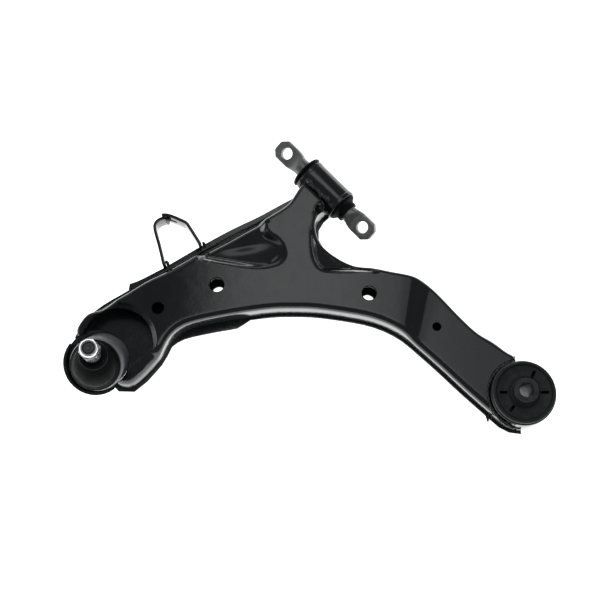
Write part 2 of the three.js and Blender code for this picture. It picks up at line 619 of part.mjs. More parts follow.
// Lock nut: a hexagon with chamfered corners and a round collar on top.
const nutHex = new THREE.Shape();
for (let i = 0; i < 6; i += 1) {
  const angle = (Math.PI / 3) * i + Math.PI / 12;
  const corner = NUT_AF / Math.sqrt(3);
  const [x, y] = [corner * Math.cos(angle), corner * Math.sin(angle)];
  if (i) nutHex.lineTo(x, y);
  else nutHex.moveTo(x, y);
}
const hexBlock = new THREE.ExtrudeGeometry(nutHex, { depth: NUT_H, bevelEnabled: false });
hexBlock.translate(0, 0, NUT_SEAT);
const nutCorner = NUT_AF / Math.sqrt(3);
const nutTop = NUT_SEAT + NUT_H;
const collarTop = nutTop + NUT_COLLAR_H;
const insertR = STUD_THREAD_R + 2.2;
const threadGap = STUD_THREAD_R + FIT;
const lockNut = cut(
  joined(
    solid(hexBlock, stud).intersect(turned([
      [0, NUT_SEAT - 1], [nutCorner + 0.2, NUT_SEAT - 1], [nutCorner + 0.2, nutTop - 1.4],
      [nutCorner - 2, nutTop], [0, nutTop],
    ], stud)),
    turned([
      [0, nutTop - 1], [NUT_COLLAR_R, nutTop - 1], [NUT_COLLAR_R, collarTop - 1.4],
      [NUT_COLLAR_R - 1.4, collarTop], [0, collarTop],
    ], stud),
  ),
  disc(threadGap, 0, HIGH, stud, FINE),
  turned([
    [0, nutTop + 1.4], [insertR + FIT, nutTop + 1.4], [insertR + FIT, collarTop - 0.9],
    [insertR - 0.6, collarTop + 0.1], [insertR - 0.6, collarTop + 3], [0, collarTop + 3],
  ], stud, FINE),
);
const nutInsert = pipe(insertR, threadGap, nutTop + 1.4 + FIT, collarTop - 1.2, stud, FINE);

// Dust boot: turned about the housing's axis below and the stud's axis above.
function boot(profile, facets) {
  const points = profile.map(([r, z]) => new THREE.Vector2(r, z));
  points.push(points[0].clone());
  const geometry = new THREE.LatheGeometry(points, facets);
  geometry.rotateX(Math.PI / 2);
  const position = geometry.attributes.position;
  for (let i = 0; i < position.count; i += 1) {
    const local = new THREE.Vector3().fromBufferAttribute(position, i);
    const share = THREE.MathUtils.smoothstep(local.z, HOUSING_TOP + 1, BOOT_TOP - 6);
    const onHousing = local.clone().applyMatrix4(housing);
    const onStud = local.clone().applyMatrix4(stud);
    const point = onHousing.lerp(onStud, share);
    position.setXYZ(i, point.x, point.y, point.z);
  }
  return solid(geometry);
}
const bootIn = GROOVE_R + FIT;
const collarIn = STUD_TAPER_R + FIT;
const dustBoot = boot([
  [bootIn, 10.2], [bootIn + BOOT_WALL - 0.6, 10.2], [bootIn + BOOT_WALL, 11],
  [bootIn + BOOT_WALL, 14.4], [22.6, 16.6], [21.6, 20], [19.2, 24.4], [16.2, 27.6],
  [13.6, 29.4], [13.2, 30.6], [13.4, BOOT_TOP - 1.6], [12.4, BOOT_TOP],
  [collarIn, BOOT_TOP], [collarIn, 29.8], [12.6 - 0.6, 27.8], [14.9, 25.9],
  [17.5, 23.1], [19.6, 19.2], [20.4, HOUSING_TOP + 2.4], [bootIn, HOUSING_TOP + 0.8],
], SMOOTH);
const ringOn = bootIn + BOOT_WALL + FIT;
const bootLowerRing = turned([
  [ringOn, 11.6], [ringOn + 1.2, 11.6], [ringOn + 1.2, 13.6], [ringOn, 13.6],
], housing);
const upperRingOn = 13.5 + FIT;
const bootUpperRing = turned([
  [upperRingOn, 31.4], [upperRingOn + 1.1, 31.4], [upperRingOn + 1.1, 33], [upperRingOn, 33],
], stud, FINE);

// ---------------------------------------------------------------- bracket and welds
const LEFT_STRIP = [
  [-149.3, 16.6], [-154, 35], [-159.2, 53], [-159, 60], [-154.6, 64.6],
  [-149.4, 66],
];
const RIGHT_STRIP = [
  [-152.6, 69.4], [-147.4, 69.4], [-141.2, 67.6], [-133.4, 64.2], [-126.8, 60.8],
  [-123.6, 56.6], [-117.6, 47.2], [-112.2, 38.4],
];
const LEFT_WELD = [-145.8, 18.6];
const RIGHT_WELD = [-108.6, 39.6];
const LAP_WELD = [-147.1, 65.3];
const stripTop = STRIP_Z0 + STRIP_W;
const bracketLeft = strip(LEFT_STRIP, STRIP_T, STRIP_Z0, stripTop);
const slotMid = STRIP_Z0 + STRIP_W / 2;
const slotTool = box(STRIP_SLOT_L, 30, STRIP_SLOT_W, new THREE.Matrix4()
  .makeRotationZ(THREE.MathUtils.degToRad(-18))
  .setPosition(STRIP_SLOT[0], STRIP_SLOT[1], slotMid));
const bracketRight = strip(RIGHT_STRIP, STRIP_T, STRIP_Z0, stripTop).subtract(slotTool);

const weldZ0 = STRIP_Z0 + 2;
const weldZ1 = stripTop - 2;
const legBead = ([x, y]) => rod(
  [[x, y, weldZ0], [x + 0.4, y + 0.3, (weldZ0 + weldZ1) / 2], [x, y, weldZ1]],
  WELD_R,
);

// Bead along the neck where it laps the tube.
const neckBead = [];
const neckBeadAngle = THREE.MathUtils.degToRad(NECK_BEAD_DEG);
for (let i = 0; i <= 6; i += 1) {
  const u = -NECK_HALF + 2 + ((2 * NECK_HALF - 4) * i) / 6;
  const away = bandR + FIT + WELD_R + 0.3 * (i % 2);
  const [x, y] = onFront(u, -away * Math.cos(neckBeadAngle));
  neckBead.push([x, y, FRONT.z + away * Math.sin(neckBeadAngle)]);
}
const arcBead = [];
for (let degrees = 122; degrees <= 240; degrees += 12) {
  const angle = THREE.MathUtils.degToRad(degrees);
  const r = (RING_R + ARC_CUT_R) / 2;
  arcBead.push([REAR.x + r * Math.cos(angle), REAR.y + r * Math.sin(angle), REAR_TOP_Z - 1.4]);
}

// Beads along the seam between the pressings, on the ledge of the lower one.
function seam(edge, from, to) {
  const line = offset(outline, LEDGE - SEAM_R).filter(([x, y]) => edge(x, y));
  return rod(
    line.filter(([x]) => x > from && x < to)
      .map(([x, y]) => [x, y, FLOOR_Z + SHEET + FIT + SEAM_R]),
    SEAM_R,
    6,
  );
}
const isSouth = (x, y) => y < -0.3 * x - 5 && x < 206;
const isWest = (x, y) => y > 0.55 * x + 80 && x < -20;
const isNorth = (x, y) => !isSouth(x, y) && y < 36 && y > -90;

// ---------------------------------------------------------------- scene
const BLACK = { color: 0x17191a, roughness: 0.32, metalness: 0.25 };
const STEEL = { color: 0x8b8e90, roughness: 0.42, metalness: 0.9 };
const ZINC = { color: 0xd5d8da, roughness: 0.25, metalness: 1 };
const RUBBER = { color: 0x1b1c1d, roughness: 0.85, metalness: 0 };
const PLASTIC = { color: 0xdad6c8, roughness: 0.6, metalness: 0 };

const parts = [];

function node(name, body, look) {
  parts.push({ name, body, look });
}

// The part's origin is the centre of the base of its bounding box.
function meshOf({ name, body, look }, origin) {
  const made = body.getMesh();
  const geometry = new THREE.BufferGeometry();
  const count = made.numVert;
  const position = new Float32Array(count * 3);
  for (let i = 0; i < count; i += 1) {
    position.set(made.vertProperties.subarray(i * made.numProp, i * made.numProp + 3), i * 3);
  }
  geometry.setAttribute("position", new THREE.BufferAttribute(position, 3));
  geometry.setIndex(new THREE.BufferAttribute(made.triVerts, 1));
  geometry.translate(-origin.x, -origin.y, -origin.z);
  geometry.computeVertexNormals();
  const mesh = new THREE.Mesh(geometry, new THREE.MeshStandardMaterial(look));
  mesh.name = name;
  return mesh;
}

node("upper_shell", upperShell, BLACK);
node("lower_shell", lowerShell, BLACK);
node("front_bush_tube", frontTube, BLACK);
node("front_bush_outer_sleeve", frontSleeve, STEEL);
node("front_bush_rubber", frontRubber, RUBBER);
node("front_bush_bar", bar, STEEL);
node("rear_bush_ring", rearRing, BLACK);
node("rear_bush_outer_sleeve", rearSleeve, STEEL);
node("rear_bush_rubber", rearRubber, RUBBER);
node("rear_bush_inner_sleeve", rearInner, STEEL);
node("ball_joint_housing", housingSolid, BLACK);
node("ball_joint_seat", seat, PLASTIC);
node("ball_joint_end_cap", endCap, STEEL);
node("ball_stud", ballStud, STEEL);
node("lock_nut", lockNut, ZINC);
node("lock_nut_insert", nutInsert, PLASTIC);
node("dust_boot", dustBoot, RUBBER);
node("boot_lower_ring", bootLowerRing, STEEL);
node("boot_upper_ring", bootUpperRing, STEEL);
node("bracket_left_strip", bracketLeft, BLACK);
node("bracket_right_strip", bracketRight, BLACK);
node("weld_neck_bead", rod(neckBead, WELD_R), BLACK);
node("weld_rear_ring_bead", rod(arcBead, RING_WELD_R), BLACK);
node("weld_bracket_left_bead", legBead(LEFT_WELD), BLACK);
node("weld_bracket_right_bead", legBead(RIGHT_WELD), BLACK);
node("weld_bracket_lap_bead", legBead(LAP_WELD), BLACK);
node("weld_seam_south", seam(isSouth, -50, 190), BLACK);
node("weld_seam_north", seam(isNorth, 14, 200), BLACK);
node("weld_seam_west", seam(isWest, -160, -34), BLACK);

const bounds = new THREE.Box3();
for (const { body } of parts) {
  const { min, max } = body.boundingBox();
  bounds.expandByPoint(new THREE.Vector3(...min)).expandByPoint(new THREE.Vector3(...max));
}
const origin = bounds.getCenter(new THREE.Vector3()).setZ(bounds.min.z);
const group = new THREE.Group();
group.name = "control_arm";
for (const part of parts) group.add(meshOf(part, origin));

export default group;
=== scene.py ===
"""Looks of a stamped-steel control arm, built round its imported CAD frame.

Lengths below are in millimetres in the CAD source's own axes. `row()` turns them into
the row frame in metres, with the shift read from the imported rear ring.
"""

import contextlib
import math

import bmesh
import bpy
import numpy as np
from mathutils import Matrix, Vector
from mathutils.geometry import delaunay_2d_cdt


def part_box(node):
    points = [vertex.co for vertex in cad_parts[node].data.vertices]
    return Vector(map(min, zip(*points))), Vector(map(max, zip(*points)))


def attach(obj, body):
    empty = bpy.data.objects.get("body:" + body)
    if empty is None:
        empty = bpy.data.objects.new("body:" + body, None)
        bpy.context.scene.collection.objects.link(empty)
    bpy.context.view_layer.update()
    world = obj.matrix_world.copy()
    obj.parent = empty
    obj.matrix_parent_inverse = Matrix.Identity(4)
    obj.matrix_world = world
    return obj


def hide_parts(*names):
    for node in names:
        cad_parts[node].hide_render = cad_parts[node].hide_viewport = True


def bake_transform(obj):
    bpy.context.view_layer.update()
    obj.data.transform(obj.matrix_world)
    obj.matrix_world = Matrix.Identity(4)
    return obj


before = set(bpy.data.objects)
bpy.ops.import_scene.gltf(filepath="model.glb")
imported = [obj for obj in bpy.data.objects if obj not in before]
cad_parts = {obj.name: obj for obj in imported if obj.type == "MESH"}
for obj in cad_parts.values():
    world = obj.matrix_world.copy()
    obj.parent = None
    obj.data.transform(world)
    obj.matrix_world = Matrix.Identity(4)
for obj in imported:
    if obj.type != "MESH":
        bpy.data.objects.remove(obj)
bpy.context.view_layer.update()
MM = 0.001

# ------------ sizes shared with the CAD
FIT = 0.3  # play between neighbours
SHEET = 2.8  # thickness of both pressings
FLOOR_Z = 8
FRONT_TOP_Z, REAR_TOP_Z = 46, 36  # top face ahead of and behind the bend
UPPER_INSET = 1.2  # the lower pressing shows this much as a lip
SHELL_LOW = FLOOR_Z + SHEET + FIT
WEST_DROP_X = -178

HOLES = [
    (-92.8, -8.8, 7.2), (64, -17.6, 7.2), (133.6, -50.6, 4), (-153.1, -33, 6),
]

FRONT = Vector((19.6, 101, 27))
SWING = math.radians(-46.1)
ALONG = Vector((math.cos(SWING), math.sin(SWING), 0))
ACROSS = Vector((0, 0, 1)).cross(ALONG)
TUBE_R, TUBE_WALL, TUBE_HALF = 17.6, 2.8, 25
TUBE_BAND, TUBE_BAND_STEP = 4, 0.5
SLEEVE_WALL = 1.6
BAR_R, BAR_HALF, BAR_ROUND_HALF = 9.4, 71, 38
EYE_PITCH, EYE_R = 115.2, 6.4
EYELET_W, EYELET_T, EYELET_CHAMFER = 22.6, 9.4, 6
BAR_TURN = math.radians(25)
RUBBER_DISC_R, RUBBER_DISC_T, RUBBER_NECK = 18.4, 5, 10.5

REAR = Vector((218.7, -120.5, 0))
RING_R, RING_WALL, RING_Z0, RING_TOP = 33.2, 2.8, 4, 41
REAR_SLEEVE_WALL = 2
REAR_FLANGE_R, REAR_FLANGE_TOP = 32, 46.5
REAR_RIM, REAR_DISH = 4.4, 2
REAR_INNER_R, REAR_BORE_R, REAR_INNER_TOP = 12, 7, 58
SLOT_DEG = [0, 62, 180, 232]
SLOT_IN, SLOT_OUT, SLOT_W, SLOT_DEPTH = 16.5, 25, 3, 14
ARC_CUT_R = 36.8

BALL = Vector((-213.4, -88.6, 35))
HOUSING_LEAN = Vector((-0.055, -0.36, 0.93))
STUD_LEAN = Vector((0.02, 0.03, 1))
BALL_R = 13.5
HOUSING_R, HOUSING_LOW, HOUSING_TOP = 27.6, -26.5, 13.6
SHOULDER_R, GROOVE_R = 24.6, 22.3
SEAT_R, SEAT_TOP = 17.4, 7
SEAT_LOW = -BALL_R - 0.6
CAP_R, CAP_T = 20, 3.2
STUD_NECK_R, STUD_TAPER_R, STUD_THREAD_R = 6, 8.3, 6
BOOT_TOP, BOOT_WALL = 35, 1.9
TAPER_TOP, NUT_SEAT = 45, 50
NUT_AF, NUT_H, NUT_COLLAR_R, NUT_COLLAR_H = 19, 10, 9.2, 5.6
STUD_TOP = NUT_SEAT + NUT_H + NUT_COLLAR_H - 1.2
INSERT_R = STUD_THREAD_R + 2.2
THREAD_GAP_R = STUD_THREAD_R + FIT

CUP_OFFSET = Vector((-5.2, -2.2, 0))
CUP_R, CUP_LOW, CUP_RIM, NOTCH = 33, -25.2, -8, 4
OPENING = Vector((-195.2, -69.1, 0))
OPENING_R = 38

STRIP_T, STRIP_Z0, STRIP_W = 3.4, 18, 21
STRIP_MIDDLE_Z = STRIP_Z0 + STRIP_W / 2
STRIP_SLOT, STRIP_SLOT_L, STRIP_SLOT_W = (-141, 67.4), 9, 5
NECK_REACH, NECK_HALF = 11, 20

SOUTH_EDGE = [
    (-166.7, -102.2), (-150.3, -82.5), (-143, -67), (-133.5, -55.5), (-116.5, -47.5),
    (-77.8, -39.2), (-38.9, -33.6), (-13.7, -32.8), (9.7, -33.6), (44, -38.4),
    (66, -43), (84.5, -50), (100.5, -59.5), (116, -73), (136, -91.5), (160, -114.8),
    (183, -136), (199, -150.5), (208, -155),
]
NORTH_EDGE = [
    (211, -78), (189.5, -64.4), (174.3, -52.3), (159.1, -36.9), (143.8, -19.8),
    (132.3, -7.9), (122, -0.6), (112, 4), (98, 7), (84, 9.6), (66, 14.2), (47.8, 20),
    (34, 26), (23, 33.6), (14.6, 43.6), (11, 53), (12, 63), (17, 71),
]
WEST_EDGE = [
    (-14, 94.5), (-30, 83.5), (-50, 71), (-74, 58), (-111, 37.5), (-150, 14.5),
    (-170, 4.5), (-191.2, -8.7), (-213, -21.9), (-229.7, -35.8), (-238.8, -48.9),
    (-241.4, -56.5),
]
SOUTH_WEST_CORNER = [(-237.6, -61.8), (-194.6, -112.2), (-179.1, -112.6)]
END_CORNER = [(218.3, -156.4), (216, -78)]
POCKET_EDGE = [
    (-150, 26), (-110.7, 19), (-93.4, 15.6), (-67.6, 10.5), (-50.6, 8.2), (-37.7, 9.2),
    (-28.3, 12.8), (-22.3, 19.9), (-21.5, 27), (-24.9, 36.1), (-31.8, 43.3),
    (-39.7, 48.6), (-43.1, 54.1), (-41.4, 59.6), (-34, 72), (-30, 92), (-60, 92),
    (-120, 60),
]
NECK_EDGE = [
    (26, 96), (16.3, 84.4), (9.3, 75.5), (5.2, 57.4), (3.7, 41.8), (4.2, 26.4),
    (6.2, 16.8), (11.1, 8.7), (20.7, 5), (42.4, 5), (66.1, 5.6), (86.7, 4.6),
    (104, 8), (96, 30), (50, 60), (34, 96),
]
LEFT_STRIP = [
    (-149.3, 16.6), (-154, 35), (-159.2, 53), (-159, 60), (-154.6, 64.6),
    (-149.4, 66),
]
RIGHT_STRIP = [
    (-152.6, 69.4), (-147.4, 69.4), (-141.2, 67.6), (-133.4, 64.2), (-126.8, 60.8),
    (-123.6, 56.6), (-117.6, 47.2), (-112.2, 38.4),
]

# Values of the pressing's shape, of its outline and of its top face.
OUTLINE_STEP, PATH_STEP, PATH_RINGS = 1.6, 0.4, 60
BEND_X, BEND_SLANT, BEND_SPREAD, BEND_SPREAD_SLANT, BEND_Y = 117.3, 0.2, 9.4, 0.05, -5.9
DRAFT_WEST, DRAFT_SOUTH, DRAFT_ELSEWHERE, DRAFT_HEIGHT = 8.6, -1.1, 1.4, 30.0
ROLL_CORNER, ROLL_SOUTH, ROLL_ELSEWHERE, ROLL_STEPS = 13.0, 6.2, 4.4, 7
LIP_REACH, LIP_SLOPE = 4.6, 0.95  # how the face dips round the ball joint's opening
MERGE = 2e-6  # metres

ring_low, ring_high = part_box("rear_bush_ring")
HALF_OF_MM = 0.5 / MM
SHIFT = Vector((
    REAR.x - HALF_OF_MM * (ring_low.x + ring_high.x),
    REAR.y - HALF_OF_MM * (ring_low.y + ring_high.y),
    RING_Z0 - ring_low.z / MM,
))


def row(points):
    """CAD millimetres as row-frame metres."""
    return (np.asarray(points, float) - np.array(SHIFT)) * MM


# ------------ geometry helpers
def placed(origin, axis, hint=(1, 0, 0)):
    """Local z along an axis, local x as near as it can be to a hint, in millimetres."""
    z = Vector(axis).normalized()
    x = Vector(hint)
    x = (x - z * x.dot(z)).normalized()
    y = z.cross(x)
    m = Matrix((x, y, z)).transposed().to_4x4()
    m.translation = Vector(origin)
    return m


def moved(points, matrix):
    m = np.array(matrix)
    p = np.asarray(points, float)
    return p @ m[:3, :3].T + m[:3, 3]


def stitched(rings, size, closed=False):
    """Faces between neighbouring rings of equal size; closed joins the last to the first."""
    faces = []
    for k in range(rings if closed else rings - 1):
        low, high = k * size, (k + 1) % rings * size
        for i in range(size):
            j = (i + 1) % size
            faces.append((low + i, low + j, high + j, high + i))
    return faces


@contextlib.contextmanager
def edited(mesh):
    """Opens a mesh as a bmesh, and closes it with its faces pointing out."""
    bm = bmesh.new()
    bm.from_mesh(mesh)
    yield bm
    bmesh.ops.recalc_face_normals(bm, faces=bm.faces)
    bm.to_mesh(mesh)
    bm.free()


def linked(name, mesh):
    obj = bpy.data.objects.new(name, mesh)
    bpy.context.scene.collection.objects.link(obj)
    return obj


def new_object(name, points, faces):
    mesh = bpy.data.meshes.new(name)
    mesh.from_pydata([tuple(p) for p in row(points)], [], [list(f) for f in faces])
    with edited(mesh) as bm:
        bmesh.ops.remove_doubles(bm, verts=bm.verts, dist=MERGE)
    return linked(name, mesh)


def prism(name, low_ring, high_ring, matrix):
    """A solid between two rings of as many points."""
    size = len(low_ring)
    faces = stitched(2, size) + [tuple(reversed(range(size))), tuple(range(size, 2 * size))]
    return new_object(name, moved(low_ring + high_ring, matrix), faces)


def rectangle(wide, high):
    """The corners of a rectangle round the origin."""
    x, y = wide / 2, high / 2
    return [(-x, -y), (x, -y), (x, y), (-x, y)]


def pipe(inner_r, outer_r, low, high):
    """The profile of a plain sleeve, or any rectangle between two pairs of values."""
    return [(inner_r, low), (outer_r, low), (outer_r, high), (inner_r, high)]


def baked(obj):
    """The object with its modifiers applied."""
    bpy.context.view_layer.update()
    graph = bpy.context.evaluated_depsgraph_get()
    mesh = bpy.data.meshes.new_from_object(obj.evaluated_get(graph))
    obj.modifiers.clear()
    obj.data = mesh
    return obj


def boolean(obj, operation, *others):
    for other in others:
        mod = obj.modifiers.new("boolean", "BOOLEAN")
        mod.operation = operation
        mod.solver = "MANIFOLD"
        mod.object = other
        baked(obj)
        bpy.data.objects.remove(other)
    return obj


def bevelled(obj, width, segments=2, angle=35):
    mod = obj.modifiers.new("bevel", "BEVEL")
    mod.width = width * MM
    mod.segments = segments
    mod.limit_method = "ANGLE"
    mod.angle_limit = math.radians(angle)
    return baked(obj)


def shaded(obj, angle):
    obj.data.shade_smooth()
    obj.data.set_sharp_from_angle(angle=math.radians(angle))


def fillet(profile, radius, steps=4, closed=True):
    """A profile with its corners rounded; radius is one number or one per corner."""
    points = [Vector(p) for p in profile]
    count = len(points)
    radii = [radius] * count if isinstance(radius, (int, float)) else list(radius)
    out = []
    for i, p in enumerate(points):
        if (not closed and i in (0, count - 1)) or radii[i] <= 0:
            out.append(tuple(p))
            continue
        a, b = points[i - 1] - p, points[(i + 1) % count] - p
        reach = min(radii[i], 0.45 * a.length, 0.45 * b.length)
        start, end = p + a.normalized() * reach, p + b.normalized() * reach
        for k in range(steps + 1):
            t = k / steps
            out.append(tuple(start * (1 - t) ** 2 + p * 2 * t * (1 - t) + end * t * t))
    return out


def turned(name, profile, matrix, facets=96):
    """A solid turned about local z from [radius, height] pairs that close on themselves."""
    angles = np.linspace(0, 2 * math.pi, facets, endpoint=False)
    rings = []
    for r, z in profile:
        height = np.full(facets, float(z))
        rings.append(np.stack([r * np.cos(angles), r * np.sin(angles), height], 1))
    on_axis = profile[0][0] == 0 and profile[-1][0] == 0
    faces = stitched(len(profile), facets, closed=not on_axis)
    obj = new_object(name, moved(np.concatenate(rings), matrix), faces)
    with edited(obj.data) as bm:
        bmesh.ops.dissolve_degenerate(bm, edges=bm.edges, dist=1e-7)
    return obj


def upright(x, y):
    return Matrix.Translation((x, y, 0))


def catmull_rom(points, per_span):
    """A uniform Catmull-Rom curve through points of a line, in two or three dimensions."""
    p = np.array(points, float)
    count = len(p)
    if count < 3:
        return p
    dense = []
    for i in range(count - 1):
        p0, p1, p2, p3 = p[max(i - 1, 0)], p[i], p[i + 1], p[min(i + 2, count - 1)]
        for t in np.linspace(0, 1, per_span, endpoint=False):
            dense.append(0.5 * (
                2 * p1 + (p2 - p0) * t + (2 * p0 - 5 * p1 + 4 * p2 - p3) * t * t
                + (3 * p1 - p0 - 3 * p2 + p3) * t ** 3
            ))
    dense.append(p[-1])
    return np.array(dense)


def smooth(points, spacing):
    """The curve through plan points, evenly spaced."""
    return resampled(catmull_rom(points, 40), spacing)


def resampled(points, spacing, closed=False):
    p = np.asarray(points, float)
    if closed:
        p = np.vstack([p, p[:1]])
    steps = np.linalg.norm(np.diff(p, axis=0), axis=1)
    along = np.concatenate([[0], np.cumsum(steps)])
    count = max(2, round(along[-1] / spacing))
    at = np.linspace(0, along[-1], count + 1)
    out = np.stack([np.interp(at, along, p[:, k]) for k in range(p.shape[1])], 1)
    return out[:-1] if closed else out


def on_front(u, v):
    point = FRONT + ALONG * u + ACROSS * v
    return (point.x, point.y)


def inside(points, polygon):
    """Whether each plan point is inside a closed polygon."""
    x, y = points[:, 0][:, None], points[:, 1][:, None]
    a, b = polygon, np.roll(polygon, -1, axis=0)
    cross = (a[:, 1] > y) != (b[:, 1] > y)
    span = np.where(b[:, 1] == a[:, 1], 1e-9, b[:, 1] - a[:, 1])
    at = a[:, 0] + (y - a[:, 1]) * (b[:, 0] - a[:, 0]) / span
    return (cross & (x < at)).sum(1) % 2 == 1


def distance(points, polygon):
    """Distance of each plan point from a closed polygon's line."""
    best = np.full(len(points), 1e9)
    a, b = polygon, np.roll(polygon, -1, axis=0)
    for start, end in zip(a, b):
        d = end - start
        length = d @ d
        if length < 1e-12:
            continue
        t = np.clip(((points - start) @ d) / length, 0, 1)
        gap = points - (start + t[:, None] * d)
        best = np.minimum(best, np.hypot(gap[:, 0], gap[:, 1]))
    return best


def step(value, low, high):
    t = np.clip((np.asarray(value, float) - low) / (high - low), 0, 1)
    return t * t * (3 - 2 * t)


def sweep(name, path, section):
    """A section, given at each place as (side, up) pairs, swept along 3-D points."""
    path = np.asarray(path, float)
    tangent = np.gradient(path, axis=0)
    tangent /= np.linalg.norm(tangent, axis=1)[:, None]
    up = np.array([0, 0, 1.0]) if abs(tangent[0, 2]) < 0.9 else np.array([1.0, 0, 0])
    points = []
    for i, (p, t) in enumerate(zip(path, tangent)):
        up = up - t * (up @ t)
        up /= np.linalg.norm(up)
        side = np.cross(t, up)
        ring = np.asarray(section(i))
        points.append(p + ring[:, :1] * side + ring[:, 1:] * up)
    size = len(points[0])
    faces = stitched(len(path), size)
    faces.append(tuple(range(size)))
    faces.append(tuple((len(path) - 1) * size + k for k in reversed(range(size))))
    return new_object(name, np.concatenate(points), faces)


def noise(values, seed):
    """Smooth repeatable noise along a line, from -1 to 1."""
    v = np.asarray(values, float)
    whole = np.floor(v).astype(int)
    part = v - whole
    part = part * part * (3 - 2 * part)

    def at(n):
        return np.modf(np.sin(n * 12.9898 + seed * 78.233) * 43758.5453)[0]

    return at(whole) * (1 - part) + at(whole + 1) * part


def bead(name, points, radius, seed, pitch, flat=0.8):
    """A weld bead: a rippled, slightly uneven ridge along 3-D points."""
    spacing = 0.45
    line = resampled(catmull_rom(points, 16), spacing)
    along = np.arange(len(line)) * spacing
    wobble = np.stack([noise(along / 5, seed + k) for k in range(3)], 1) * 0.3 * radius
    wobble[:, 2] *= 0.5
    line = line + wobble
    ripple = np.abs(np.sin(math.pi * along / pitch)) ** 0.7
    size = radius * (0.82 + 0.16 * ripple + 0.14 * noise(along / 3.1, seed + 5))
    ends = np.minimum(along, along[-1] - along)
    size = size * np.sqrt(np.clip(0.12 + ends / (1.6 * radius), 0, 1))
    angles = np.linspace(0, 2 * math.pi, 18, endpoint=False)

    def section(i):
        local = size[i] * (1 + 0.06 * np.sin(3 * angles + along[i]))
        return np.stack([local * np.cos(angles), flat * local * np.sin(angles)], 1)

    return sweep(name, line, section)


# ------------ frames of the joints
front = placed(FRONT, ALONG, ACROSS)
rear = Matrix.Translation(REAR)
housing = placed(BALL, HOUSING_LEAN)
stud = placed(BALL, STUD_LEAN)
cup = placed(BALL + CUP_OFFSET, HOUSING_LEAN)
bar_frame = placed(FRONT, ALONG, Matrix.Rotation(BAR_TURN, 3, ALONG) @ ACROSS)

# ------------ materials
class Shader:
    """A Principled material with a few procedural layers on object coordinates."""

    def __init__(self, name, color, roughness, metallic=0.0, coat=0.0):
        self.material = bpy.data.materials.new(name)
        self.material.use_nodes = True
        self.tree = self.material.node_tree
        self.shader = self.tree.nodes["Principled BSDF"]
        # The three layers hold a value until the first mask goes over it, and a socket after.
        self.color, self.roughness, self.normal = (*color, 1), roughness, None
        for key, value in (
            ("Base Color", self.color), ("Roughness", roughness), ("Metallic", metallic),
            ("IOR", 1.5), ("Coat Weight", coat), ("Coat Roughness", 0.12),
        ):
            self.shader.inputs[key].default_value = value
        self.place = self.node("TexCoord").outputs["Object"]

    def feed(self, socket, value):
        """Links a socket to another, or sets it to a number or colour."""
        if isinstance(value, bpy.types.NodeSocket):
            self.tree.links.new(value, socket)
        else:
            socket.default_value = value

    def node(self, kind, inputs=()):
        node = self.tree.nodes.new("ShaderNode" + kind)
        for key, value in inputs:
            self.feed(node.inputs[key], value)
        return node

    def noise(self, scale, detail=3.0, rough=0.55, distortion=0.0):
        return self.node("TexNoise", [
            ("Scale", scale), ("Detail", detail), ("Roughness", rough),
            ("Distortion", distortion), ("Vector", self.place)]).outputs["Fac"]

    def cells(self, scale, seed):
        shift = self.node("Mapping", [
            ("Location", (seed, seed * 0.7, seed * 0.3)), ("Vector", self.place)])
        return self.node("TexVoronoi", [
            ("Scale", scale), ("Vector", shift.outputs["Vector"])]).outputs["Distance"]

    def edges(self):
        return self.node("NewGeometry").outputs["Pointiness"]

    def ranged(self, value, low, high, to_low=0.0, to_high=1.0):
        node = self.node("MapRange", [
            ("Value", value), ("From Min", low), ("From Max", high),
            ("To Min", to_low), ("To Max", to_high)])
        node.clamp = True
        return node.outputs["Result"]

    def arithmetic(self, operation, first, second, clamp=False):
        node = self.node("Math", [(0, first), (1, second)])
        node.operation = operation
        node.use_clamp = clamp
        return node.outputs[0]

    def tint(self, mask, color):
        """Mixes a colour over what is there, by a mask."""
        node = self.node("Mix")
        node.data_type = "RGBA"
        for index, value in ((0, mask), (6, self.color), (7, (*color, 1))):
            self.feed(node.inputs[index], value)
        self.color = node.outputs[2]
        self.feed(self.shader.inputs["Base Color"], self.color)

    def roughen(self, mask, amount):
        """Adds to the roughness, by a mask."""
        added = self.arithmetic("MULTIPLY", mask, amount)
        self.roughness = self.arithmetic("ADD", added, self.roughness, clamp=True)
        self.feed(self.shader.inputs["Roughness"], self.roughness)

    def bump(self, height, depth_mm, strength=1.0):
        node = self.node("Bump", [
            ("Strength", strength), ("Distance", depth_mm * MM), ("Height", height)])
        if self.normal is not None:
            self.feed(node.inputs["Normal"], self.normal)
        self.normal = node.outputs["Normal"]
        self.feed(self.shader.inputs["Normal"], self.normal)


def black_paint(name, gloss=0.15, peel=0.04):
    s = Shader(name, (0.0085, 0.0105, 0.0115), gloss, coat=0.25)
    s.tint(s.ranged(s.noise(28, 4), 0.42, 0.72), (0.017, 0.0185, 0.019))
    s.tint(s.ranged(s.cells(420, 3.1), 0.075, 0.045), (0.09, 0.092, 0.09))
    s.tint(s.ranged(s.edges(), 0.54, 0.62, 0, 0.5), (0.045, 0.047, 0.048))
    s.roughen(s.ranged(s.noise(90, 5), 0.45, 0.75), 0.07)
    s.roughen(s.ranged(s.cells(420, 3.1), 0.1, 0.05), 0.25)
    s.bump(s.noise(620, 2, 0.5), peel)
    s.bump(s.noise(75, 2, 0.5), peel * 3)
    s.bump(s.ranged(s.cells(420, 3.1), 0.09, 0.03), 0.05)
    return s.material


def weld_paint(name):
    s = Shader(name, (0.012, 0.013, 0.0135), 0.24, coat=0.2)
    s.tint(s.ranged(s.noise(260, 4), 0.56, 0.74), (0.10, 0.10, 0.098))
    s.tint(s.ranged(s.edges(), 0.52, 0.6, 0, 0.7), (0.16, 0.16, 0.155))
    s.roughen(s.ranged(s.noise(200, 4), 0.4, 0.7), 0.3)
    s.bump(s.noise(900, 4, 0.6), 0.12)
    return s.material


